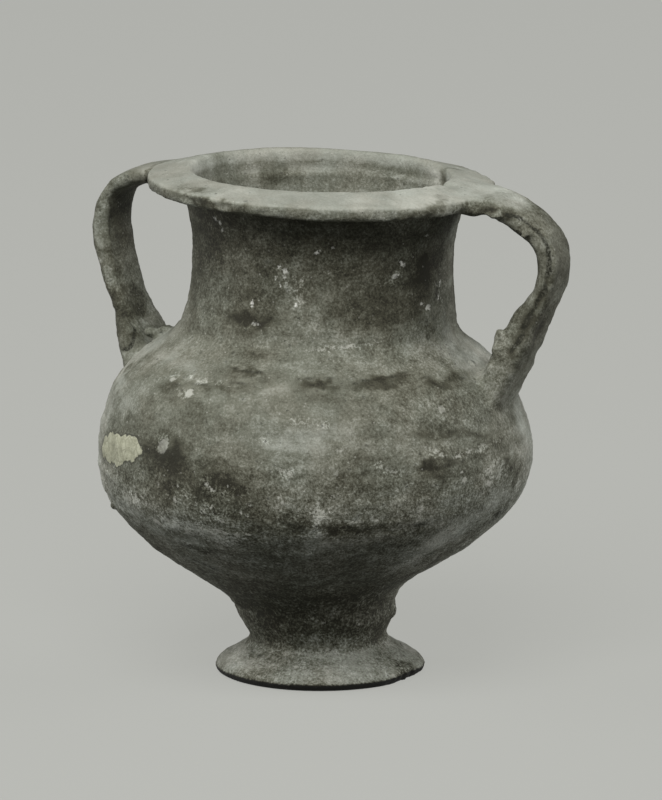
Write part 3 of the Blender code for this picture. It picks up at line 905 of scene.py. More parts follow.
# Patches of tone: angle, height, half width, half height, tilt, amount; many are painted light and
# shade.
TONE_AND_PAINTED_LIGHT_PATCHES = [
    (-107.5, 69.2, 7.7, 5.8, 0, -0.75),
    (-89.6, 66.3, 11.1, 7.7, -10, -0.6),
    (-72.4, 57.4, 4.9, 3.0, -10, -0.75),
    (-98.1, 52.1, 11.0, 3.9, -12, 0.25),
    (-111.0, 53.8, 5.1, 2.8, -28, 0.25),
    (-123.9, 81.4, 12.1, 3.1, 10, -0.3),
    (-132.6, 84.1, 6.8, 3.3, 10, 0.35),
    (-118.9, 91.5, 6.2, 2.5, 0, -0.4),
    (-102.3, 93.0, 8.7, 2.6, 0, -0.25),
    (-110.3, 94.6, 8.2, 1.1, 2, 0.55),
    (-130.3, 99.1, 14.3, 5.6, 6, 0.25),
    (-92.5, 97.8, 5.4, 1.4, -4, -0.9),
    (-91.3, 102.0, 4.0, 1.4, 0, -0.35),
    (-66.3, 95.3, 6.3, 1.9, 0, -0.55),
    # Painted highlight on the front of the belly, in this row and the next.
    (-78.7, 81.6, 13.5, 5.8, -6, 0.35),
    (-73.4, 78.7, 12.1, 2.0, 0, 0.25),
    (-43.4, 95.3, 10.6, 2.1, 3, -0.95),
    (-21.6, 92.4, 9.2, 2.8, 0, -0.5),
    (-21.3, 87.6, 10.3, 3.1, 0, -0.3),
    (-61.8, 85.5, 8.6, 4.2, 0, 0.4),
    (-40.1, 85.4, 8.9, 4.0, 0, 0.1),
    (-45.0, 87.6, 3.4, 1.9, 0, -0.3),
    (-52.8, 90.6, 2.6, 2.0, 0, -0.25),
    (-24.6, 80.1, 13.8, 1.4, -7, -0.5),
    (-35.0, 72.5, 6.1, 2.0, 4, -1),
    (-21.5, 73.2, 13.6, 2.0, 12, -0.65),
    (-9.6, 74.9, 3.8, 2.4, 0, -0.5),
    (-1.8, 66.3, 4.6, 4.2, 0, -0.8),
    (-14.9, 74.9, 7.7, 0.8, 6, 0.6),
    (-12.7, 67.6, 6.8, 2.3, 0, 0.3),
    (-61.0, 80.1, 1.7, 0.9, 0, -0.6),
    (-26.9, 62.0, 5.3, 2.0, 10, -0.35),
    (-13.0, 54.0, 11.3, 6.0, 32, 0.35),
    (-24.0, 49.8, 7.7, 5.0, 30, 0.35),
    (-59.8, 55.7, 7.2, 2.2, 0, -0.9),
    (-51.2, 56.5, 4.5, 1.7, 0, -0.35),
    (-70.5, 57.1, 3.2, 3.1, 0, -0.4),
    (-66.5, 59.3, 2.6, 3.8, 0, 0.4),
    (-66.6, 53.5, 3.7, 2.0, 0, 0.6),
    (-40.2, 51.8, 8.2, 4.0, 10, -0.35),
    (-14.2, 38.2, 4.0, 1.6, 32, -0.7),
    (-47.8, 69.4, 21.5, 3.7, 3, -0.3),
    (-71.4, 68.7, 14.3, 3.5, 0, -0.2),
    (-45.2, 115.2, 9.4, 2.9, 0, -0.45),
    (-19.4, 122.8, 4.0, 7.6, 0, -0.8),
    (-15.0, 106.1, 1.9, 3.2, 0, -0.6),
    (-94.7, 132.4, 12.0, 3.7, 0, 0.05),
    (-97.9, 110.9, 7.7, 1.7, 0, -0.55),
    (-91.0, 125.7, 2.8, 2.0, 0, -0.35),
    (-123.1, 115.0, 10.1, 7.5, 0, 0.45),
    (-72.1, 111.8, 5.2, 4.0, 0, 0.35),
    (-60.0, 120.5, 8.7, 3.8, 0, 0.2),
    (-47.0, 139.1, 19.9, 4.0, 0, -0.3),
    (-97.9, 35.3, 9.9, 5.0, -28, 0.35),
    (-30.2, 40.8, 8.4, 5.5, 32, 0.6),
    (-64.5, 27.4, 16.4, 2.0, -1, -0.6),
    (-117.7, 17.6, 3.8, 5.0, 0, 0.45),
    (-11.5, 20.2, 4.4, 6.0, 0, 0.35),
    (-95.2, 8.2, 11.5, 2.0, 0, -0.35),
    (-7.1, 3.7, 4.2, 3.4, 0, -0.8),
    (-14.5, 7.0, 3.4, 5.0, 0, -0.35),
    (-132.8, 4.8, 5.8, 4.0, 0, 0.3),
    (-72.7, 4.1, 20.6, 1.5, 0, 0.3),
    (-104.8, 144.3, 16.9, 1.3, -8, -0.8),
    (-32.3, 144.8, 11.4, 1.4, 8, -0.75),
    (-65.2, 144.0, 14.3, 0.6, 0, -0.3),
    (-93.1, 119.8, 5.8, 7.5, 0, -0.75),
    (-83.3, 131.9, 6.6, 3.6, 0, -0.5),
    (-99.4, 110.9, 6.8, 3.2, 0, -0.4),
    (-119.8, 111.3, 7.2, 2.6, 0, -0.4),
    (-59.3, 125.2, 7.6, 2.3, 0, 0.35),
    (-65.0, 137.3, 5.7, 2.5, 0, 0.3),
    (-41.0, 120.0, 5.2, 2.6, 0, -0.5),
    (-43.6, 132.3, 11.0, 2.5, 0, -0.1),
    (-31.2, 111.6, 5.8, 2.6, 0, -0.7),
    (-55.4, 110.4, 7.1, 2.3, 0, -0.5),
    # Painted light: lighter strips down the right edge of the neck and at the right handle's root.
    (4.1, 125.0, 5.6, 11.0, 0, 0.7),
    (-0.8, 107.5, 4.6, 4.1, 0, 0.5),
    (5.0, 98.9, 14.8, 6.0, 0, 0.6),
    (-93.9, 93.7, 10.7, 2.6, 0, -0.5),
    (-110.9, 76.4, 9.5, 4.7, 0, -0.8),
    (-97.5, 86.5, 11.1, 2.5, 0, -0.35),
    (-116.2, 71.0, 6.2, 2.9, 0, -0.5),
    (-94.5, 73.1, 6.5, 2.3, 0, -0.5),
    (-87.1, 60.6, 10.0, 3.9, 8, -0.7),
    (-110.0, 61.7, 2.8, 1.8, 0, -0.5),
    (-60.2, 83.9, 5.8, 3.5, 0, 0.2),
    (-127.1, 55.2, 4.8, 6.0, -45, 0.6),
    (-118.7, 47.0, 4.7, 6.0, -38, 0.7),
    (-110.9, 38.3, 5.7, 6.0, -32, 0.6),
    (-23.0, 49.7, 9.3, 6.0, 34, 0.8),
    (-10.0, 56.5, 5.8, 6.0, 45, 0.5),
    (-24.8, 37.3, 4.9, 6.0, 32, 0.6),
    (-1.6, 68.3, 3.8, 5.2, 0, 0.5),
    (10.4, 77.0, 4.9, 7.0, 0, 0.4),
    (-55.2, 62.9, 10.6, 2.1, 0, -0.45),
    (-22.2, 69.2, 5.5, 2.6, 0, -0.4),
    (-36.0, 69.4, 4.1, 1.4, 0, -0.35),
    (-54.1, 57.0, 3.9, 1.4, 0, 0.4),
    (-73.5, 60.2, 2.0, 2.2, 0, 0.4),
    (-23.6, 90.6, 5.2, 1.9, 0, -0.45),
    (-10.1, 89.9, 6.7, 3.0, 0, -0.35),
    (-67.9, 47.5, 11.5, 3.7, 0, 0.3),
    (-80.6, 32.3, 12.6, 6.0, 0, -0.5),
    (-87.1, 21.4, 9.0, 4.5, 0, -0.5),
    (-41.2, 31.4, 4.6, 6.0, 0, -0.4),
    (-95.7, 38.8, 4.2, 4.9, 0, -0.3),
    (-52.7, 12.4, 11.1, 1.4, 0, 0.8),
    (-127.5, 7.5, 3.9, 4.5, 0, -0.4),
    (-97.2, 61.7, 7.4, 5.2, 0, -0.6),
    (-127.0, 74.6, 9.5, 3.6, 0, -0.5),
    (-115.4, 71.1, 5.2, 3.2, 0, -0.35),
    (-104.6, 71.0, 5.1, 3.5, 0, -0.35),
    (-121.0, 85.5, 5.5, 2.7, 0, -0.45),
    (-108.5, 84.0, 6.0, 2.4, 0, -0.45),
    (-87.3, 69.4, 4.9, 2.6, 0, -0.4),
    (-78.7, 64.1, 4.7, 2.7, 0, -0.3),
    (-79.0, 56.5, 5.9, 2.8, 0, -0.4),
    (-22.3, 66.3, 7.6, 3.6, 0, -0.45),
    (-127.4, 136.4, 10.8, 11.0, 0, -0.4),
    (-86.4, 128.3, 3.1, 2.9, 0, -0.4),
    (-99.9, 127.4, 3.1, 2.0, 0, -0.3),
    (-86.9, 95.3, 6.6, 2.4, 0, -0.4),
    (-43.0, 110.3, 5.1, 2.9, 0, -0.35),
    (-24.1, 111.0, 3.2, 4.0, 0, -0.5),
    (-32.8, 132.5, 5.8, 2.2, 0, -0.35),
    (-97.6, 106.7, 4.6, 2.1, 0, -0.35),
    (-108.6, 23.6, 5.9, 11.0, 0, -0.5),
    (-66.1, 28.7, 7.6, 8.4, 0, -0.3),
    (-6.2, 21.6, 7.3, 3.2, 0, -0.5),
    (-66.6, 125.1, 4.0, 3.2, 0, 0.35),
    (-58.7, 136.9, 10.5, 2.5, 0, 0.3),
    (-44.3, 116.1, 2.8, 1.7, 0, 0.25),
    (-97.8, 99.6, 4.5, 2.8, 0, 0.3),
    (-107.0, 51.5, 6.6, 5.1, -12, 0.35),
    (-94.0, 49.9, 6.1, 3.7, -12, 0.25),
    (-56.4, 80.5, 3.8, 3.2, 0, 0.25),
    (-53.6, 57.9, 4.2, 2.0, 0, 0.3),
    (-35.1, 57.7, 11.3, 3.8, 12, 0.45),
    (-5.4, 95.6, 9.1, 6.7, 0, 0.3),
    (-13.7, 138.0, 7.9, 10.1, 0, 0.35),
    (-110.5, 71.1, 15.7, 7.5, 0, -0.3),
    (-128.1, 76.9, 17.4, 5.5, 0, -0.35),
    (-109.9, 87.0, 14.5, 4.2, 0, -0.3),
    (-98.1, 29.4, 6.6, 11.0, 0, -0.35),
    (-145.6, 9.2, 3.8, 3.2, 0, -0.4),
    (-80.9, 33.7, 5.0, 11.0, 0, -0.25),
    (-60.2, 54.4, 3.5, 2.7, 0, -0.4),
    (0.8, 82.4, 9.1, 5.2, 0, -0.45),
    (-27.3, 64.8, 15.3, 6.0, 0, -0.2),
    (-67.1, 138.0, 6.3, 2.8, 0, 0.3),
    (-67.9, 123.7, 4.0, 4.4, 0, 0.25),
    (-45.7, 117.6, 3.1, 2.3, 0, 0.3),
    (-98.9, 95.3, 5.8, 4.5, 0, -0.35),
    (-57.8, 48.7, 20.8, 3.0, 0, 0.25),
    (-27.8, 144.4, 12.7, 8.6, 0, 0.5),
    (-125.1, 136.2, 7.6, 10.8, 0, -0.25),
    (-106.3, 106.1, 9.6, 2.4, 0, -0.15),
    (-6.3, 127.9, 5.2, 4.5, 0, -0.45),
    (-120.5, 20.4, 5.5, 8.4, 0, -0.45),
    (-5.1, 10.9, 5.7, 2.1, 0, -0.4),
    (-78.4, 3.8, 7.7, 1.8, 0, -0.35),
    (-87.3, 56.9, 2.8, 2.0, 0, -0.45),
    (-108.0, 49.6, 5.0, 4.4, -10, 0.45),
    (-59.6, 53.7, 2.6, 2.4, 0, -0.3),
    (-66.0, 60.8, 2.6, 1.8, 0, -0.3),
    (-59.0, 69.5, 2.3, 2.0, 0, -0.3),
    (-96.4, 65.1, 2.7, 5.3, 0, -0.3),
    (-97.7, 94.9, 5.1, 4.4, 0, -0.25),
    (-83.3, 96.6, 4.7, 4.8, 0, -0.25),
    (-43.9, 97.7, 7.9, 2.8, 0, -0.15),
    (-30.8, 91.9, 10.2, 2.6, 0, -0.2),
    (-53.2, 68.4, 2.7, 1.5, 0, 0.3),
    (-52.8, 56.0, 4.2, 1.4, 0, 0.3),
    (-58.0, 90.3, 11.6, 2.0, 0, 0.15),
    (-57.2, 80.5, 2.9, 2.9, 0, 0.25),
    (-20.3, 79.2, 4.2, 2.1, 0, 0.3),
    (-13.2, 106.5, 4.5, 2.9, 0, 0.3),
    (-7.0, 101.6, 7.2, 2.7, 0, 0.2),
    (-102.4, 113.4, 2.8, 1.7, 0, -0.2),
    (-59.9, 135.6, 2.9, 4.3, 0, 0.2),
    (-77.0, 116.2, 2.3, 1.7, 0, 0.2),
    (-25.1, 46.2, 11.1, 7.2, 20, 0.35),
    (-93.9, 113.5, 3.9, 8.6, 0, -0.12),
    (-79.0, 59.6, 2.3, 4.4, 0, -0.2),
    (-40.1, 72.7, 2.9, 2.0, 0, -0.3),
    (-92.4, 65.5, 2.5, 1.8, 0, 0.3),
    (-141.6, 97.7, 8.6, 5.2, 0, -0.35),
    (6.9, 83.5, 9.7, 5.6, 0, -0.35),
    (-119.0, 53.0, 8.3, 5.4, 0, 0.4),
    (-26.3, 48.1, 9.0, 7.1, 25, 0.3),
    (-143.7, 8.5, 8.6, 2.3, 0, -0.4),
    (-110.0, 60.8, 4.0, 2.5, 0, -0.3),
    (-111.5, 146.1, 3.3, 4.8, 0, -0.3),
    (-28.4, 136.1, 4.7, 2.6, 0, -0.25),
    (-94.9, 127.8, 3.3, 2.9, 0, -0.2),
    (-74.1, 109.2, 5.8, 2.3, 0, 0.15),
    (-83.0, 32.2, 4.5, 9.6, 0, -0.25),
    (-39.2, 30.4, 3.5, 7.9, 0, -0.3),
    (-44.7, 95.6, 11.8, 2.7, 3, -0.25),
    (-96.2, 97.6, 6.9, 2.2, 0, -0.3),
    (-63.7, 95.5, 7.5, 1.9, 0, -0.2),
]
FLAKE = (-133.0, 71.9, 15.0, 4.6, 9)

STAINS = [
    (-44.8, 96.1, 2.5, 1.4, 2),
    (-43.4, 94.6, 1.8, 0.9, 0),
    (-19.6, 94.0, 3.2, 1.0, 4),
    (-23.2, 92.6, 2.6, 1.6, 0),
    (-37.4, 72.5, 2.3, 1.2, 10),
    (-33.9, 71.3, 2.8, 1.3, 0),
    (-30.6, 71.9, 2.9, 0.7, 10),
    (-33.8, 68.9, 1.6, 0.8, 0),
    (-59.5, 55.2, 3.7, 1.3, 4),
    (-54.8, 54.5, 3.0, 1.7, 0),
    (-70.3, 59.1, 1.2, 1.0, -30),
    (-3.8, 65.8, 2.1, 1.8, 0),
    (-5.8, 69.8, 1.9, 1.2, 0),
    (-1.3, 61.7, 2.5, 1.4, 0),
    (-108.8, 72.4, 3.1, 2.0, 0),
    (-107.0, 76.4, 1.8, 2.0, 0),
    (-106.5, 69.3, 2.3, 1.5, 0),
    (-108.6, 64.3, 1.6, 2.7, 0),
    (-112.9, 62.1, 1.7, 0.7, 0),
    (-99.2, 65.6, 1.7, 1.1, 0),
    (-100.0, 63.2, 1.4, 1.3, 0),
    (-94.3, 69.7, 2.9, 0.9, 0),
    (-89.2, 67.8, 2.2, 1.5, 0),
    (-86.2, 66.6, 1.2, 2.6, 0),
    (-106.3, 45.3, 3.4, 2.2, -14),
    (-101.9, 44.9, 2.5, 2.3, 0),
    (-14.8, 121.2, 1.7, 4.7, 0),
    (-19.8, 124.7, 1.3, 3.5, 0),
    (-16.0, 129.4, 1.4, 1.8, 0),
    (-101.1, 112.1, 2.4, 0.9, 0),
    (-92.9, 109.2, 1.9, 0.9, 0),
    (-100.6, 107.9, 1.7, 0.8, 0),
    (-102.0, 118.6, 1.1, 1.5, 0),
    (-110.6, 122.8, 1.0, 1.5, 0),
    (-66.3, 95.2, 6.3, 1.3, 0),
    (-24.6, 80.1, 12.0, 0.9, -7),
    (-92.0, 67.5, 9.0, 3.6, -10),
    (-97.9, 111.0, 7.0, 1.2, 0),
    (-7.1, 3.7, 6.0, 3.6, 0),
    (-104.8, 145.0, 16.0, 1.0, -8),
    (-32.3, 144.4, 11.0, 1.0, 8),
    (-18.8, 93.9, 8.8, 1.2, 0),
]
DUST = [
    (-67.5, 126.5, 1.4, 0.8, 0),
    (-98.0, 109.6, 3.0, 0.6, 0),
    (-36.5, 121.5, 1.8, 1.2, 0),
    (-110.3, 94.9, 8.2, 0.8, 2),
    (-98.1, 52.1, 10.8, 3.0, -12),
    (-111.0, 53.8, 5.0, 2.0, -28),
    (-14.9, 74.9, 7.6, 0.8, 6),
    (-66.6, 53.5, 3.6, 1.5, 0),
    (-66.5, 59.3, 2.3, 3.4, 0),
    (-12.7, 67.6, 6.0, 2.0, 0),
    (-80.0, 122.0, 2.2, 0.8, 0),
    (-77.8, 118.0, 1.6, 1.6, 0),
    (-34.0, 124.0, 1.8, 1.0, 0),
    (-60.2, 104.2, 4.2, 0.6, 6),
    (-52.0, 104.9, 3.6, 0.5, 8),
    (-110.0, 90.6, 2.6, 1.2, 0),
    (-112.3, 75.9, 2.4, 2.8, -30),
    (-76.0, 72.4, 2.6, 1.0, -8),
    (-48.6, 72.8, 3.2, 1.0, -30),
    (-36.0, 70.5, 2.0, 0.5, -8),
    (-28.7, 42.8, 1.4, 3.7, -40),
    (-30.6, 40.0, 6.3, 0.9, 18),
    (-34.8, 46.2, 1.0, 3.0, -50),
    (-95.0, 58.5, 3.6, 1.6, -15),
    (-103.0, 64.0, 2.0, 1.6, 0),
    (-122.0, 58.9, 2.4, 2.4, -20),
    (-72.0, 86.0, 2.0, 0.8, 0),
    (-65.0, 85.0, 1.8, 1.4, 0),
    (-81.0, 81.0, 1.6, 0.9, 0),
    (-33.2, 75.6, 1.6, 0.9, 0),
    (-4.8, 117.5, 0.9, 5.0, 0),
]

# Patches at points on the handles: place, half sizes, amount; many are painted light and shade.
PLACED_TONE_AND_PAINTED_LIGHT = [
    ((-60.0, -3.0, 101.0), 6.0, 7.0, -0.35),
    ((-52.0, -2.0, 98.5), 6.0, 3.0, 0.6),
    ((-60.0, -2.5, 105.5), 5.0, 6.0, -0.5),
    ((-60.5, -5.0, 144.0), 7.0, 2.0, -0.3),
    ((-70.2, -3.5, 127.9), 3.0, 8.0, 0.2),
    # Painted highlight on the left handle's bend.
    ((-66.0, -3.0, 139.8), 5.0, 3.0, 0.7),
    ((62.5, -4.5, 138.9), 4.0, 2.4, 0.5),
    ((-62.0, -4.5, 108.0), 2.5, 8.0, -0.4),
    ((-62.6, -4.7, 98.2), 4.0, 5.0, -0.5),
    ((-59.3, 4.0, 106.0), 4.0, 5.0, -0.8),
    ((69.0, 4.8, 108.9), 4.0, 6.0, -0.6),
    ((67.0, 2.0, 104.0), 4.0, 6.0, -0.6),
    ((50.5, -9.0, 143.6), 9.0, 2.4, -0.3),
    ((60.1, -5.7, 141.4), 6.0, 2.4, 0.3),
    ((42.0, 8.0, 137.0), 8.0, 7.0, 0.7),
    ((72.5, 4.0, 134.5), 7.0, 7.0, 0.7),
    ((50.7, -9.5, 142.6), 8.0, 1.6, -1.2),
    ((58.0, -6.0, 141.2), 5.0, 1.4, -0.5),
    ((63.9, -5.0, 102.0), 4.0, 4.0, -0.5),
    ((72.5, 0.0, 118.5), 4.0, 5.0, -0.4),
    ((66.8, -6.4, 136.2), 2.4, 0.9, 0.8),
    ((66.0, -5.6, 134.2), 2.2, 0.9, -1.0),
    ((58.0, 0.0, 145.0), 14.0, 6.0, 0.5),
    ((68.5, -1.0, 108.0), 5.0, 7.0, -0.55),
    ((65.5, 0.0, 98.0), 5.0, 6.0, -0.5),
    ((-36.2, 8.1, 147.0), 5.0, 3.5, -0.35),
    ((-25.9, 24.6, 141.5), 5.0, 3.5, -0.8),
    ((-38.0, 5.0, 149.0), 3.0, 2.0, 0.4),
    ((-29.2, 21.0, 142.5), 2.0, 3.0, 0.5),
    ((9.2, 36.4, 144.6), 7.0, 3.0, -0.4),
    ((11.6, 35.2, 142.6), 0.8, 3.5, 0.7),
    ((26.0, 27.0, 144.5), 3.5, 1.6, 0.8),
    ((29.5, 23.7, 145.6), 2.2, 2.2, -1.6),
    ((58.8, -3.5, 104.4), 3.0, 5.0, 0.5),
    ((-16.2, -42.0, 148.9), 9.0, 3.0, 0.3),
    ((-30.0, -33.3, 149.3), 6.0, 3.0, 0.2),
    ((69.1, -2.4, 117.2), 2.5, 3.0, 0.6),
    ((63.5, -3.8, 109.5), 2.5, 5.0, -0.4),
    ((70.1, 0.8, 112.1), 2.0, 5.0, -0.35),
    ((-59.8, 5.8, 105.0), 3.5, 4.0, -0.35),
    ((39.9, -5.8, 148.1), 8.0, 3.0, -0.2),
    ((-19.3, 29.5, 139.4), 8.0, 2.0, -0.3),
    ((61.3, -4.8, 139.7), 4.0, 2.0, 0.4),
    ((71.5, -2.2, 129.1), 3.0, 8.0, 0.35),
    ((66.2, -3.9, 134.6), 5.0, 3.0, 0.3),
    ((-56.3, -3.0, 96.3), 3.0, 3.0, 0.4),
    ((-61.3, -4.8, 98.9), 2.5, 4.0, -0.4),
    ((60.4, -5.8, 91.0), 4.0, 6.0, 0.3),
]
GROOVE_STREAK = [
    (-9.6, -46.0, 98.2),
    (-5.2, -47.5, 97.9),
    (-0.6, -48.0, 97.6),
    (2.7, -47.7, 97.8),
]
SHOULDER_STREAK = [
    (-42.6, -29.8, 95.7),
    (-38.2, -27.3, 98.7),
    (-35.1, -27.9, 100.2),
    (-32.0, -30.0, 101.1),
]
GROOVE_SHADE = [
    (26.7, -41.9, 95.9),
    (30.0, -38.0, 96.3),
    (34.1, -34.3, 96.4),
    (37.4, -30.1, 96.8),
    (39.7, -26.6, 97.0),
]
# Lines painted dark: shade in the handles' creases and round the left root, and streaks and shade
# by the groove.
SHADED_CREASES_AND_STREAKS = [
    (RIGHT_CREASE, 1.0),
    (RIGHT_BEND, 0.85),
    (LEFT_RING, 0.9),
    (LEFT_SEAM, 0.9),
    (GROOVE_STREAK, 0.4),
    (SHOULDER_STREAK, 0.4),
    (GROOVE_SHADE, 0.4),
]

# %% How deep a point lies in a mark
SMALLEST_HALF = 0.6
OUTSIDE_MOST = -3.0


def depth_inside(marks, places):
    """How deep each point lies inside the nearest mark, in millimetres; negative outside."""
    found = np.full(len(places), OUTSIDE_MOST)
    for at_angle, at_height, wide, high_by, tilt in marks:
        least = max(SMALLEST_HALF, min(wide, high_by))
        wide, high_by = max(wide, SMALLEST_HALF), max(high_by, SMALLEST_HALF)
        found = np.maximum(found, least * spot(places, (at_angle, at_height), wide, high_by, tilt))
    return found


def depth_in_lines(lines, places):
    depths = [half_wide * stroke(places, line, half_wide) for line, half_wide in lines]
    return np.max(depths, axis=0)


# %% Thin the skin where it is calm
MOST_TRIANGLES = 196000
jar = object_from(skin, "amphoriskos_body")
skin.calc_loop_triangles()
points = points_of(skin) / MM
# Marks keep their close mesh, with a margin round them, because their edges need the points.
KEPT_MARGIN = 1.0
in_marks = depth_inside(PALE_MARKS + DARK_MARKS + [FLAKE], points)
marked = np.maximum(in_marks, depth_in_lines(SHADED_CREASES_AND_STREAKS, points)) > -KEPT_MARGIN
plain = jar.vertex_groups.new(name="plain")
plain.add(np.flatnonzero(~marked).tolist(), 1.0, "REPLACE")
thin = jar.modifiers.new("thin", "DECIMATE")
thin.ratio = min(1.0, MOST_TRIANGLES / len(skin.loop_triangles))
thin.vertex_group = "plain"
thin.vertex_group_factor = 1.0
print("before thinning:", len(skin.loop_triangles), "triangles, marked points", int(marked.sum()))
thinned = as_seen(jar)
jar.modifiers.clear()
jar.vertex_groups.clear()
jar.data = thinned
bpy.data.meshes.remove(skin)
thinned.name = "amphoriskos_body"
move_points(thinned, np.clip(points_of(thinned), *CAD_BOX))
thinned.calc_loop_triangles()
thinned.shade_smooth()
print("jar:", len(thinned.loop_triangles), "triangles")

# %% Give each point its numbers
points = points_of(thinned) / MM
height = points[:, 2]
radius = np.hypot(points[:, 0], points[:, 1])
normals = normals_of(thinned)
wobble = np.stack(
    [waves(points, 7.0, seed) + 0.6 * waves(points, 3.0, seed + 3) for seed in (61, 62, 63)]
)
torn = points + 0.9 * wobble.T
creased = points + 0.25 * wobble.T

# %% How light the clay is from the foot up: height, tone
TONE_BY_HEIGHT = [
    # Painted shadow: the foot's bottom edge, where it meets the table, is made near black.
    (0.0, -3.4),
    (1.8, -3.2),
    (2.4, 0.2),
    (6.0, 0.6),
    (9.4, 0.4),
    # Painted shade: the stem, under the body, is darker.
    (10.4, -0.5),
    (14.0, -0.95),
    (24.0, -0.95),
    (34.0, -0.65),
    (44.0, -0.25),
    (58.0, -0.1),
    (70.0, -0.2),
    (84.0, -0.12),
    (98.0, -0.1),
    (104.0, -0.2),
    # Painted shade: the neck is darker up to the lip, where the lip's shade falls.
    (110.0, -0.55),
    (118.0, -0.8),
    (134.0, -1.0),
    (142.0, -1.1),
    (143.2, -0.25),
    (145.8, -0.15),
    (146.5, 0.8),
    (152.0, 0.8),
]
HANDLE_TONE_BY_HEIGHT = [
    (98.0, -0.1),
    (104.0, -0.1),
    (110.0, -0.35),
    (120.0, -0.65),
    (134.0, -0.95),
    (141.0, -0.8),
    (143.0, -0.1),
    (146.0, 0.6),
]

# %% The tone of the clay, from broad clouds down to single patches
FRONT_TURN = 90.0 - math.degrees(VIEW_TURN)
LIP_INNER = 37.5
LIP_FACE_FROM = 145.6
LIP_REACH = 53.5
tone = 0.22 * waves(points, 34.0, 31) + 0.16 * waves(points, 14.0, 32, (1.0, 1.0, 2.0))
tone += 0.14 * waves(points, 24.0, 33, (0.5, 0.5, 5.0))
tipped = np.interp(height, (TILT_FROM, TILT_TO), (0.0, 1.0))
level_height = height + math.tan(LIP_TILT) * (points[:, :2] @ ahead) * tipped
calm = np.clip(np.where(radius > LIP_REACH, height, level_height) - LIP_FACE_FROM, 0.0, 1.0)
calm *= np.clip((radius - LIP_INNER) / 1.5, 0.0, 1.0)
tone *= 1.0 - 0.6 * calm
wall_radius = np.interp(height, OUT_Z, OUT_R)
on_handle = radius > np.where(height > 140.0, LIP_REACH, wall_radius + 4.0)
# The body's tone by height holds the painted shadow and shade of the foot, stem and neck.
body_tone = np.interp(level_height, *zip(*TONE_BY_HEIGHT))
handle_tone = np.interp(height, *zip(*HANDLE_TONE_BY_HEIGHT))
tone += np.where(on_handle & (height > 96.0), handle_tone, body_tone)
leaned = points[:, :2] - np.interp(height, WANDER_Z, WANDER_MM)[:, None] * ahead
in_mouth = (np.hypot(*leaned.T) < wall_radius - 2.0) & (height > 100.0)
tone += np.where(in_mouth, 0.05 + 1.25 * np.clip((147.0 - height) / 9.0, 0.0, 1.0), 0.0)
from_front = np.degrees(np.arctan2(points[:, 1], points[:, 0])) + FRONT_TURN
from_front = abs((from_front + 180.0) % 360.0 - 180.0)
# Painted light: the body's sides, at the edges seen from the front, are lighter as if lit from the
# table.
painted_flank_light = np.interp(from_front, (54.0, 76.0, 88.0, 115.0, 160.0), (0.0, 0.8, 1.7, 1.5, 0.5))
painted_flank_light *= np.interp(height, (22.0, 30.0, 50.0, 66.0, 96.0, 102.0), (0.1, 1.2, 1.2, 0.6, 0.5, 0.0))
painted_flank_light *= radius < wall_radius + 2.0
tone += 1.1 * painted_flank_light
back_lip = calm * np.clip((points[:, 1] - 0.4 * points[:, 0] - 24.0) / 8.0, 0.0, 1.0)
tone -= 0.35 * back_lip
# Painted light: the left handle's side face is made lighter than its inner face.
LEFT_LIT_SIDE_HALF = 2.2
tone += np.clip(depth_in_lines([(LEFT_LIT_SIDE, LEFT_LIT_SIDE_HALF)], torn), 0.0, 1.0)
# Patches of tone and of painted light and shade, on the body and at points on the handles.
for at_angle, at_height, wide, high_by, tilt, amount in TONE_AND_PAINTED_LIGHT_PATCHES:
    inside_patch = spot(torn, (at_angle, at_height), wide, high_by, tilt)
    tone += amount * np.clip(1.8 * (inside_patch + 0.2), 0, 1)
for at, wide, high_by, amount in PLACED_TONE_AND_PAINTED_LIGHT:
    tone += amount * np.clip(1.5 * (spot(torn, at, wide, high_by) + 0.25), 0, 1)

# %% How speckled the clay is, and every number that a point carries
SPECKLE_BY_HEIGHT = [
    (0, 1.7),
    (8, 1.8),
    (14, 2.2),
    (30, 2.6),
    (60, 1.9),
    (75, 1.0),
    (95, 0.65),
    (105, 1.0),
    (140, 1.5),
    (147, 1.1),
]
SHADED_CREASE_HALF = 1.2
speckle = np.interp(height, *zip(*SPECKLE_BY_HEIGHT))
speckle *= np.where(on_handle, np.interp(height, (102.0, 112.0, 125.0), (1.25, 1.1, 0.7)), 1.0)
speckle *= 1.0 + 0.65 * np.clip(spot(points, (46.0, -20.0, 90.0), 26.0, 14.0) + 0.4, 0.0, 1.0)
speckle *= np.where(in_mouth, 0.6, 1.0) * (1.0 - 0.6 * calm) * (1.0 + 0.4 * painted_flank_light)
fields = {
    "tone": tone,
    "speckle": speckle,
    "pale": depth_inside(PALE_MARKS, points),
    "dark": depth_inside(DARK_MARKS, points),
    # The creases painted dark as shade, with the dark streaks by the shoulder's groove.
    "crack": depth_in_lines(SHADED_CREASES_AND_STREAKS, creased),
    # Stains, and painted shade along the right handle's lower crease.
    "stain": np.maximum(
        depth_inside(STAINS, torn),
        depth_in_lines([(RIGHT_CREASE[3:], SHADED_CREASE_HALF)], creased),
    ),
    "dust": depth_inside(DUST, torn),
    "flake": depth_inside([FLAKE], points + 0.5 * wobble.T),
}
for name, values in fields.items():
    layer = thinned.attributes.new(name, "FLOAT", "POINT")
    layer.data.foreach_set("value", values.astype(np.float32))
    print(name, round(float(values.min()), 2), round(float(values.max()), 2))

# %% [markdown]
# ## Writing a finish
# A shader is arithmetic on places. `Wire` lets an output be added, multiplied or compared in
# plain Python, and `Finish.node` places any other node, so that a finish reads like a recipe.

# %% Wires and nodes


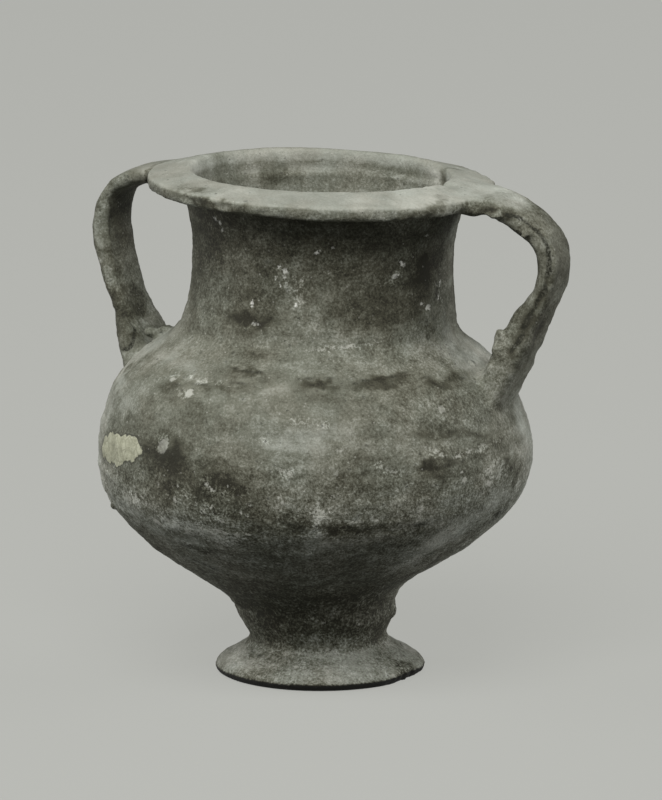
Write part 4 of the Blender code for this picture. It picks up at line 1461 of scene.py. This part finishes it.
class Wire:
    """An output of a node. Adding or multiplying it places the Math node for that."""

    def __init__(self, finish, socket):
        self.finish = finish
        self.socket = socket

    def maths(self, operation, *values):
        sockets = dict(enumerate(values))
        return self.finish.node("ShaderNodeMath", {"operation": operation}, sockets)

    def __add__(self, other):
        return self.maths("ADD", self, other)

    def __sub__(self, other):
        return self.maths("SUBTRACT", self, other)

    def __rsub__(self, other):
        return self.maths("SUBTRACT", other, self)

    def __mul__(self, other):
        return self.maths("MULTIPLY", self, other)

    __radd__ = __add__
    __rmul__ = __mul__

    def step(self, low_end, high_end):
        """0 below the low end, 1 above the high end, smooth between."""
        settings = {"interpolation_type": "SMOOTHSTEP"}
        sockets = {"Value": self, "From Min": low_end, "From Max": high_end}
        return self.finish.node("ShaderNodeMapRange", settings, sockets)


class Finish:
    """A material and the nodes that are put in it."""

    def __init__(self, name):
        self.material = bpy.data.materials.new(name)
        self.material.use_nodes = True
        self.tree = self.material.node_tree
        self.shader = self.tree.nodes["Principled BSDF"]

    def fill(self, sockets, key, value):
        if isinstance(value, Wire):
            self.tree.links.new(value.socket, sockets[key])
        else:
            sockets[key].default_value = value

    def node(self, kind, settings, sockets, output=0):
        """Places a node: its settings first, then the values or links of its sockets."""
        made = self.tree.nodes.new(kind)
        for key, value in settings.items():
            if key == "stops":
                ramp = made.color_ramp
                while len(ramp.elements) < len(value):
                    ramp.elements.new(1.0)
                for element, (position, colour) in zip(ramp.elements, value):
                    element.position = position
                    element.color = (*colour, 1.0)
            else:
                setattr(made, key, value)
        for key, value in sockets.items():
            self.fill(made.inputs, key, value)
        return Wire(self, made.outputs[output])

    def set(self, **sockets):
        for key, value in sockets.items():
            self.fill(self.shader.inputs, key.replace("_", " "), value)

    def field(self, name):
        settings = {"attribute_type": "GEOMETRY", "attribute_name": name}
        return self.node("ShaderNodeAttribute", settings, {}, "Fac")

    def noise(self, place, size, detail=3.0, rough=0.55):
        """Uneven grey, 0 to 1, with patches about one size across (metres)."""
        sockets = {"Vector": place, "Scale": 1.0 / size, "Detail": detail, "Roughness": rough}
        return self.node("ShaderNodeTexNoise", {}, sockets, "Fac")

    def stretched(self, place, scale):
        sockets = {"Vector": place, "Scale": scale}
        return self.node("ShaderNodeMapping", {"vector_type": "POINT"}, sockets)

    def mix(self, amount, first, second):
        """One colour into another, by an amount."""
        sockets = {"Factor": amount, 6: first, 7: second}
        return self.node("ShaderNodeMix", {"data_type": "RGBA"}, sockets, 2)


# %% [markdown]
# ## The clay
# The finish is built from large to small: broad light and dark areas, streaks left level by the
# wheel, stains, then the grit and pits of the clay itself. Lime flecks and one cream flake lie on
# top. Some of it is painted shade: creases darkened near black, a dark line round the flake and
# the near-black bottom edge of the foot; the lime flecks on the neck are painted lighter because
# the neck lies in shade. Old clay is matt, so only its roughness changes a little, and a fine bump
# gives it tooth.

# %% Fired clay
clay = Finish("fired_clay")
place = clay.node("ShaderNodeTexCoord", {}, {}, "Object")
level = clay.stretched(place, (1.0, 1.0, 7.0))
cloud = clay.noise(place, 0.010, 4.0, 0.6)
mottle = clay.noise(place, 0.0030, 4.0, 0.65)
streak = clay.noise(level, 0.014, 4.0, 0.6)
grain = clay.noise(place, 0.00075, 2.0, 0.7)
fine = clay.noise(place, 0.00038, 1.0, 0.5)

uneven = 2.0 * (mottle - 0.5) + 4.0 * (grain - 0.5)
# Stains darken the clay, and so does the painted shade along the right handle's crease.
stain = (clay.field("stain") + uneven).step(-0.6, 0.7)
dust = (clay.field("dust") + uneven).step(-0.3, 0.9)
soft = clay.field("tone") + 1.1 * (cloud - 0.5) + 0.9 * (streak - 0.5) - 0.85 * stain + 0.75 * dust
rough = 1.9 * (mottle - 0.5) + 2.0 * (grain - 0.5) + 0.8 * (fine - 0.5)
broken = 1.15 - 0.45 * soft.step(-0.3, 0.9) + 0.6 * stain + 0.35 * dust
shade = soft + rough * clay.field("speckle") * broken
CLAY_STOPS = [
    (0.0, (0.0175, 0.0165, 0.0098)),
    (0.25, (0.0555, 0.0548, 0.0375)),
    (0.5, (0.133, 0.1355, 0.106)),
    (0.75, (0.267, 0.273, 0.235)),
    (1.0, (0.457, 0.466, 0.414)),
]
base = clay.node("ShaderNodeValToRGB", {"stops": CLAY_STOPS}, {"Fac": 0.25 * shade + 0.5})
hue = clay.noise(place, 0.016, 3.0, 0.6)
tint = clay.mix(hue.step(0.38, 0.62), (1.015, 0.996, 0.98, 1.0), (0.992, 1.004, 1.0, 1.0))
base = clay.node("ShaderNodeVectorMath", {"operation": "MULTIPLY"}, {0: base, 1: tint})

grit_cell = clay.node(
    "ShaderNodeTexVoronoi", {"feature": "F1"}, {"Vector": place, "Scale": 640.0}, "Distance"
)
grit_pick = clay.node(
    "ShaderNodeTexVoronoi", {"feature": "F1"}, {"Vector": place, "Scale": 640.0}, "Color"
)
grit_luck = clay.node("ShaderNodeSeparateColor", {}, {"Color": grit_pick}, 0)
grit = (1.0 - (grit_cell + 0.25 * (fine - 0.5)).step(0.05, 0.24)) * grit_luck.step(0.72, 0.9)
base = clay.mix(grit * 0.42, base, (0.42, 0.42, 0.37, 1.0))

pit_cell = clay.node(
    "ShaderNodeTexVoronoi", {"feature": "F1"}, {"Vector": place, "Scale": 460.0}, "Distance"
)
pits = (1.0 - (pit_cell + 0.3 * (fine - 0.5)).step(0.08, 0.26)) * mottle.step(0.48, 0.62)
base = clay.mix(pits * 0.55, base, (0.02, 0.02, 0.014, 1.0))

ragged = 0.8 * (mottle - 0.5) + 1.3 * (grain - 0.5)
gritty = 0.25 + 0.7 * (1.0 - grain.step(0.36, 0.62))
dark_mark = (clay.field("dark") + 1.3 * ragged).step(-0.1, 0.4)
base = clay.mix(dark_mark * gritty, base, (0.022, 0.022, 0.014, 1.0))
level_of = clay.node("ShaderNodeSeparateXYZ", {}, {"Vector": place}, "Z")
# Painted light: lime flecks on the neck, in shade under the lip, are made twice as light as lower
# ones.
lime_lightened_in_shade = clay.mix(level_of.step(0.104, 0.116), (0.36, 0.36, 0.315, 1.0), (0.72, 0.72, 0.66, 1.0))
# Painted shade: the creases turn near black; the streaks by the shoulder's groove darken too.
crack = (clay.field("crack") + 0.5 * ragged).step(0.05, 0.45)
base = clay.mix(crack * (0.2 + gritty), base, (0.016, 0.016, 0.01, 1.0))
pale_mark = (clay.field("pale") + ragged).step(-0.1, 0.45)
base = clay.mix(pale_mark * (0.3 + 0.5 * cloud.step(0.35, 0.6)), base, lime_lightened_in_shade)

foot_shade = 1.0 - (level_of + 0.0008 * (grain - 0.5)).step(0.0019, 0.0025)
base = clay.mix(foot_shade * 0.95, base, (0.004, 0.004, 0.003, 1.0))

flake_edge = clay.field("flake") + 1.6 * (mottle - 0.5)
flake = flake_edge.step(0.0, 0.25)
# Painted shadow: a dark line round the flake, where its edge stands off the clay.
flake_rim_shadow = flake_edge.step(-0.5, 0.0) * (1.0 - flake)
base = clay.mix(flake_rim_shadow * 0.6, base, (0.03, 0.03, 0.022, 1.0))
crackle = clay.node(
    "ShaderNodeTexVoronoi",
    {"feature": "DISTANCE_TO_EDGE"},
    {"Vector": place, "Scale": 330.0},
    "Distance",
)
crazed = 1.0 - crackle.step(0.02, 0.09)
cream = clay.mix(mottle.step(0.35, 0.65), (0.24, 0.24, 0.17, 1.0), (0.37, 0.37, 0.275, 1.0))
cream = clay.mix(crazed * mottle.step(0.4, 0.6) * 0.5, cream, (0.15, 0.15, 0.1, 1.0))
base = clay.mix(flake, base, cream)

relief = 0.5 * mottle + 0.35 * grain + 0.15 * fine + 0.25 * grit - 0.4 * pits + 0.3 * flake
tooth = clay.node(
    "ShaderNodeBump", {}, {"Strength": 0.7, "Distance": 0.0005, "Height": relief}
)
clay.set(Base_Color=base, Roughness=0.82 + 0.14 * (mottle - 0.5), Normal=tooth)
clay.shader.inputs["Specular IOR Level"].default_value = 0.25
thinned.materials.clear()
thinned.materials.append(clay.material)
print("clay nodes:", len(clay.tree.nodes))

# %% Put the jar on its body
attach(jar, "root")
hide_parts("amphoriskos")

# %% [markdown]
# ## Table and light
# The jar stands on a plain pale surface. One large soft light above and a little in front of it
# makes the lip bright and leaves shade under it; a weak wide light opens the shadows.

# %% Pale table
table_mesh = bpy.data.meshes.new("table")
table_shape = bmesh.new()
bmesh.ops.create_grid(table_shape, x_segments=1, y_segments=1, size=12.0)
table_shape.to_mesh(table_mesh)
table_shape.free()
table = object_from(table_mesh, "table")
paper = Finish("pale_paper")
paper_place = paper.node("ShaderNodeTexCoord", {}, {}, "Object")
paper_cloud = paper.noise(paper_place, 0.09, 2.0)
paper.set(Base_Color=paper.mix(paper_cloud, (0.039, 0.04, 0.037, 1.0), (0.042, 0.043, 0.04, 1.0)))
paper.set(Roughness=0.95, Emission_Color=(0.397, 0.401, 0.376, 1.0), Emission_Strength=1.0)
table_mesh.materials.append(paper.material)
table.visible_diffuse = False

# %% Soft light


def soft_light(name, turn, rise, distance, size, power):
    data = bpy.data.lights.new(name, "AREA")
    data.shape = "SQUARE"
    data.size = size
    data.energy = power
    light = bpy.data.objects.new(name, data)
    way = Vector(
        (math.sin(turn) * math.cos(rise), -math.cos(turn) * math.cos(rise), math.sin(rise))
    )
    light.location = AIM + distance * way
    light.rotation_euler = way.to_track_quat("Z", "Y").to_euler()
    bpy.context.scene.collection.objects.link(light)
    return light


soft_light("overhead", math.radians(10.0), math.radians(50.0), 1.6, 1.1, 38.0)
soft_light("right_side", math.radians(125.0), math.radians(6.0), 2.0, 1.2, 27.0)
soft_light("left_side", math.radians(-80.0), math.radians(6.0), 2.0, 1.2, 24.0)
world = bpy.data.worlds.new("studio")
world.use_nodes = True
world.node_tree.nodes["Background"].inputs["Color"].default_value = (0.9, 0.92, 0.9, 1.0)
world.node_tree.nodes["Background"].inputs["Strength"].default_value = 0.14
bpy.context.scene.world = world
bpy.context.scene.view_settings.view_transform = "Standard"
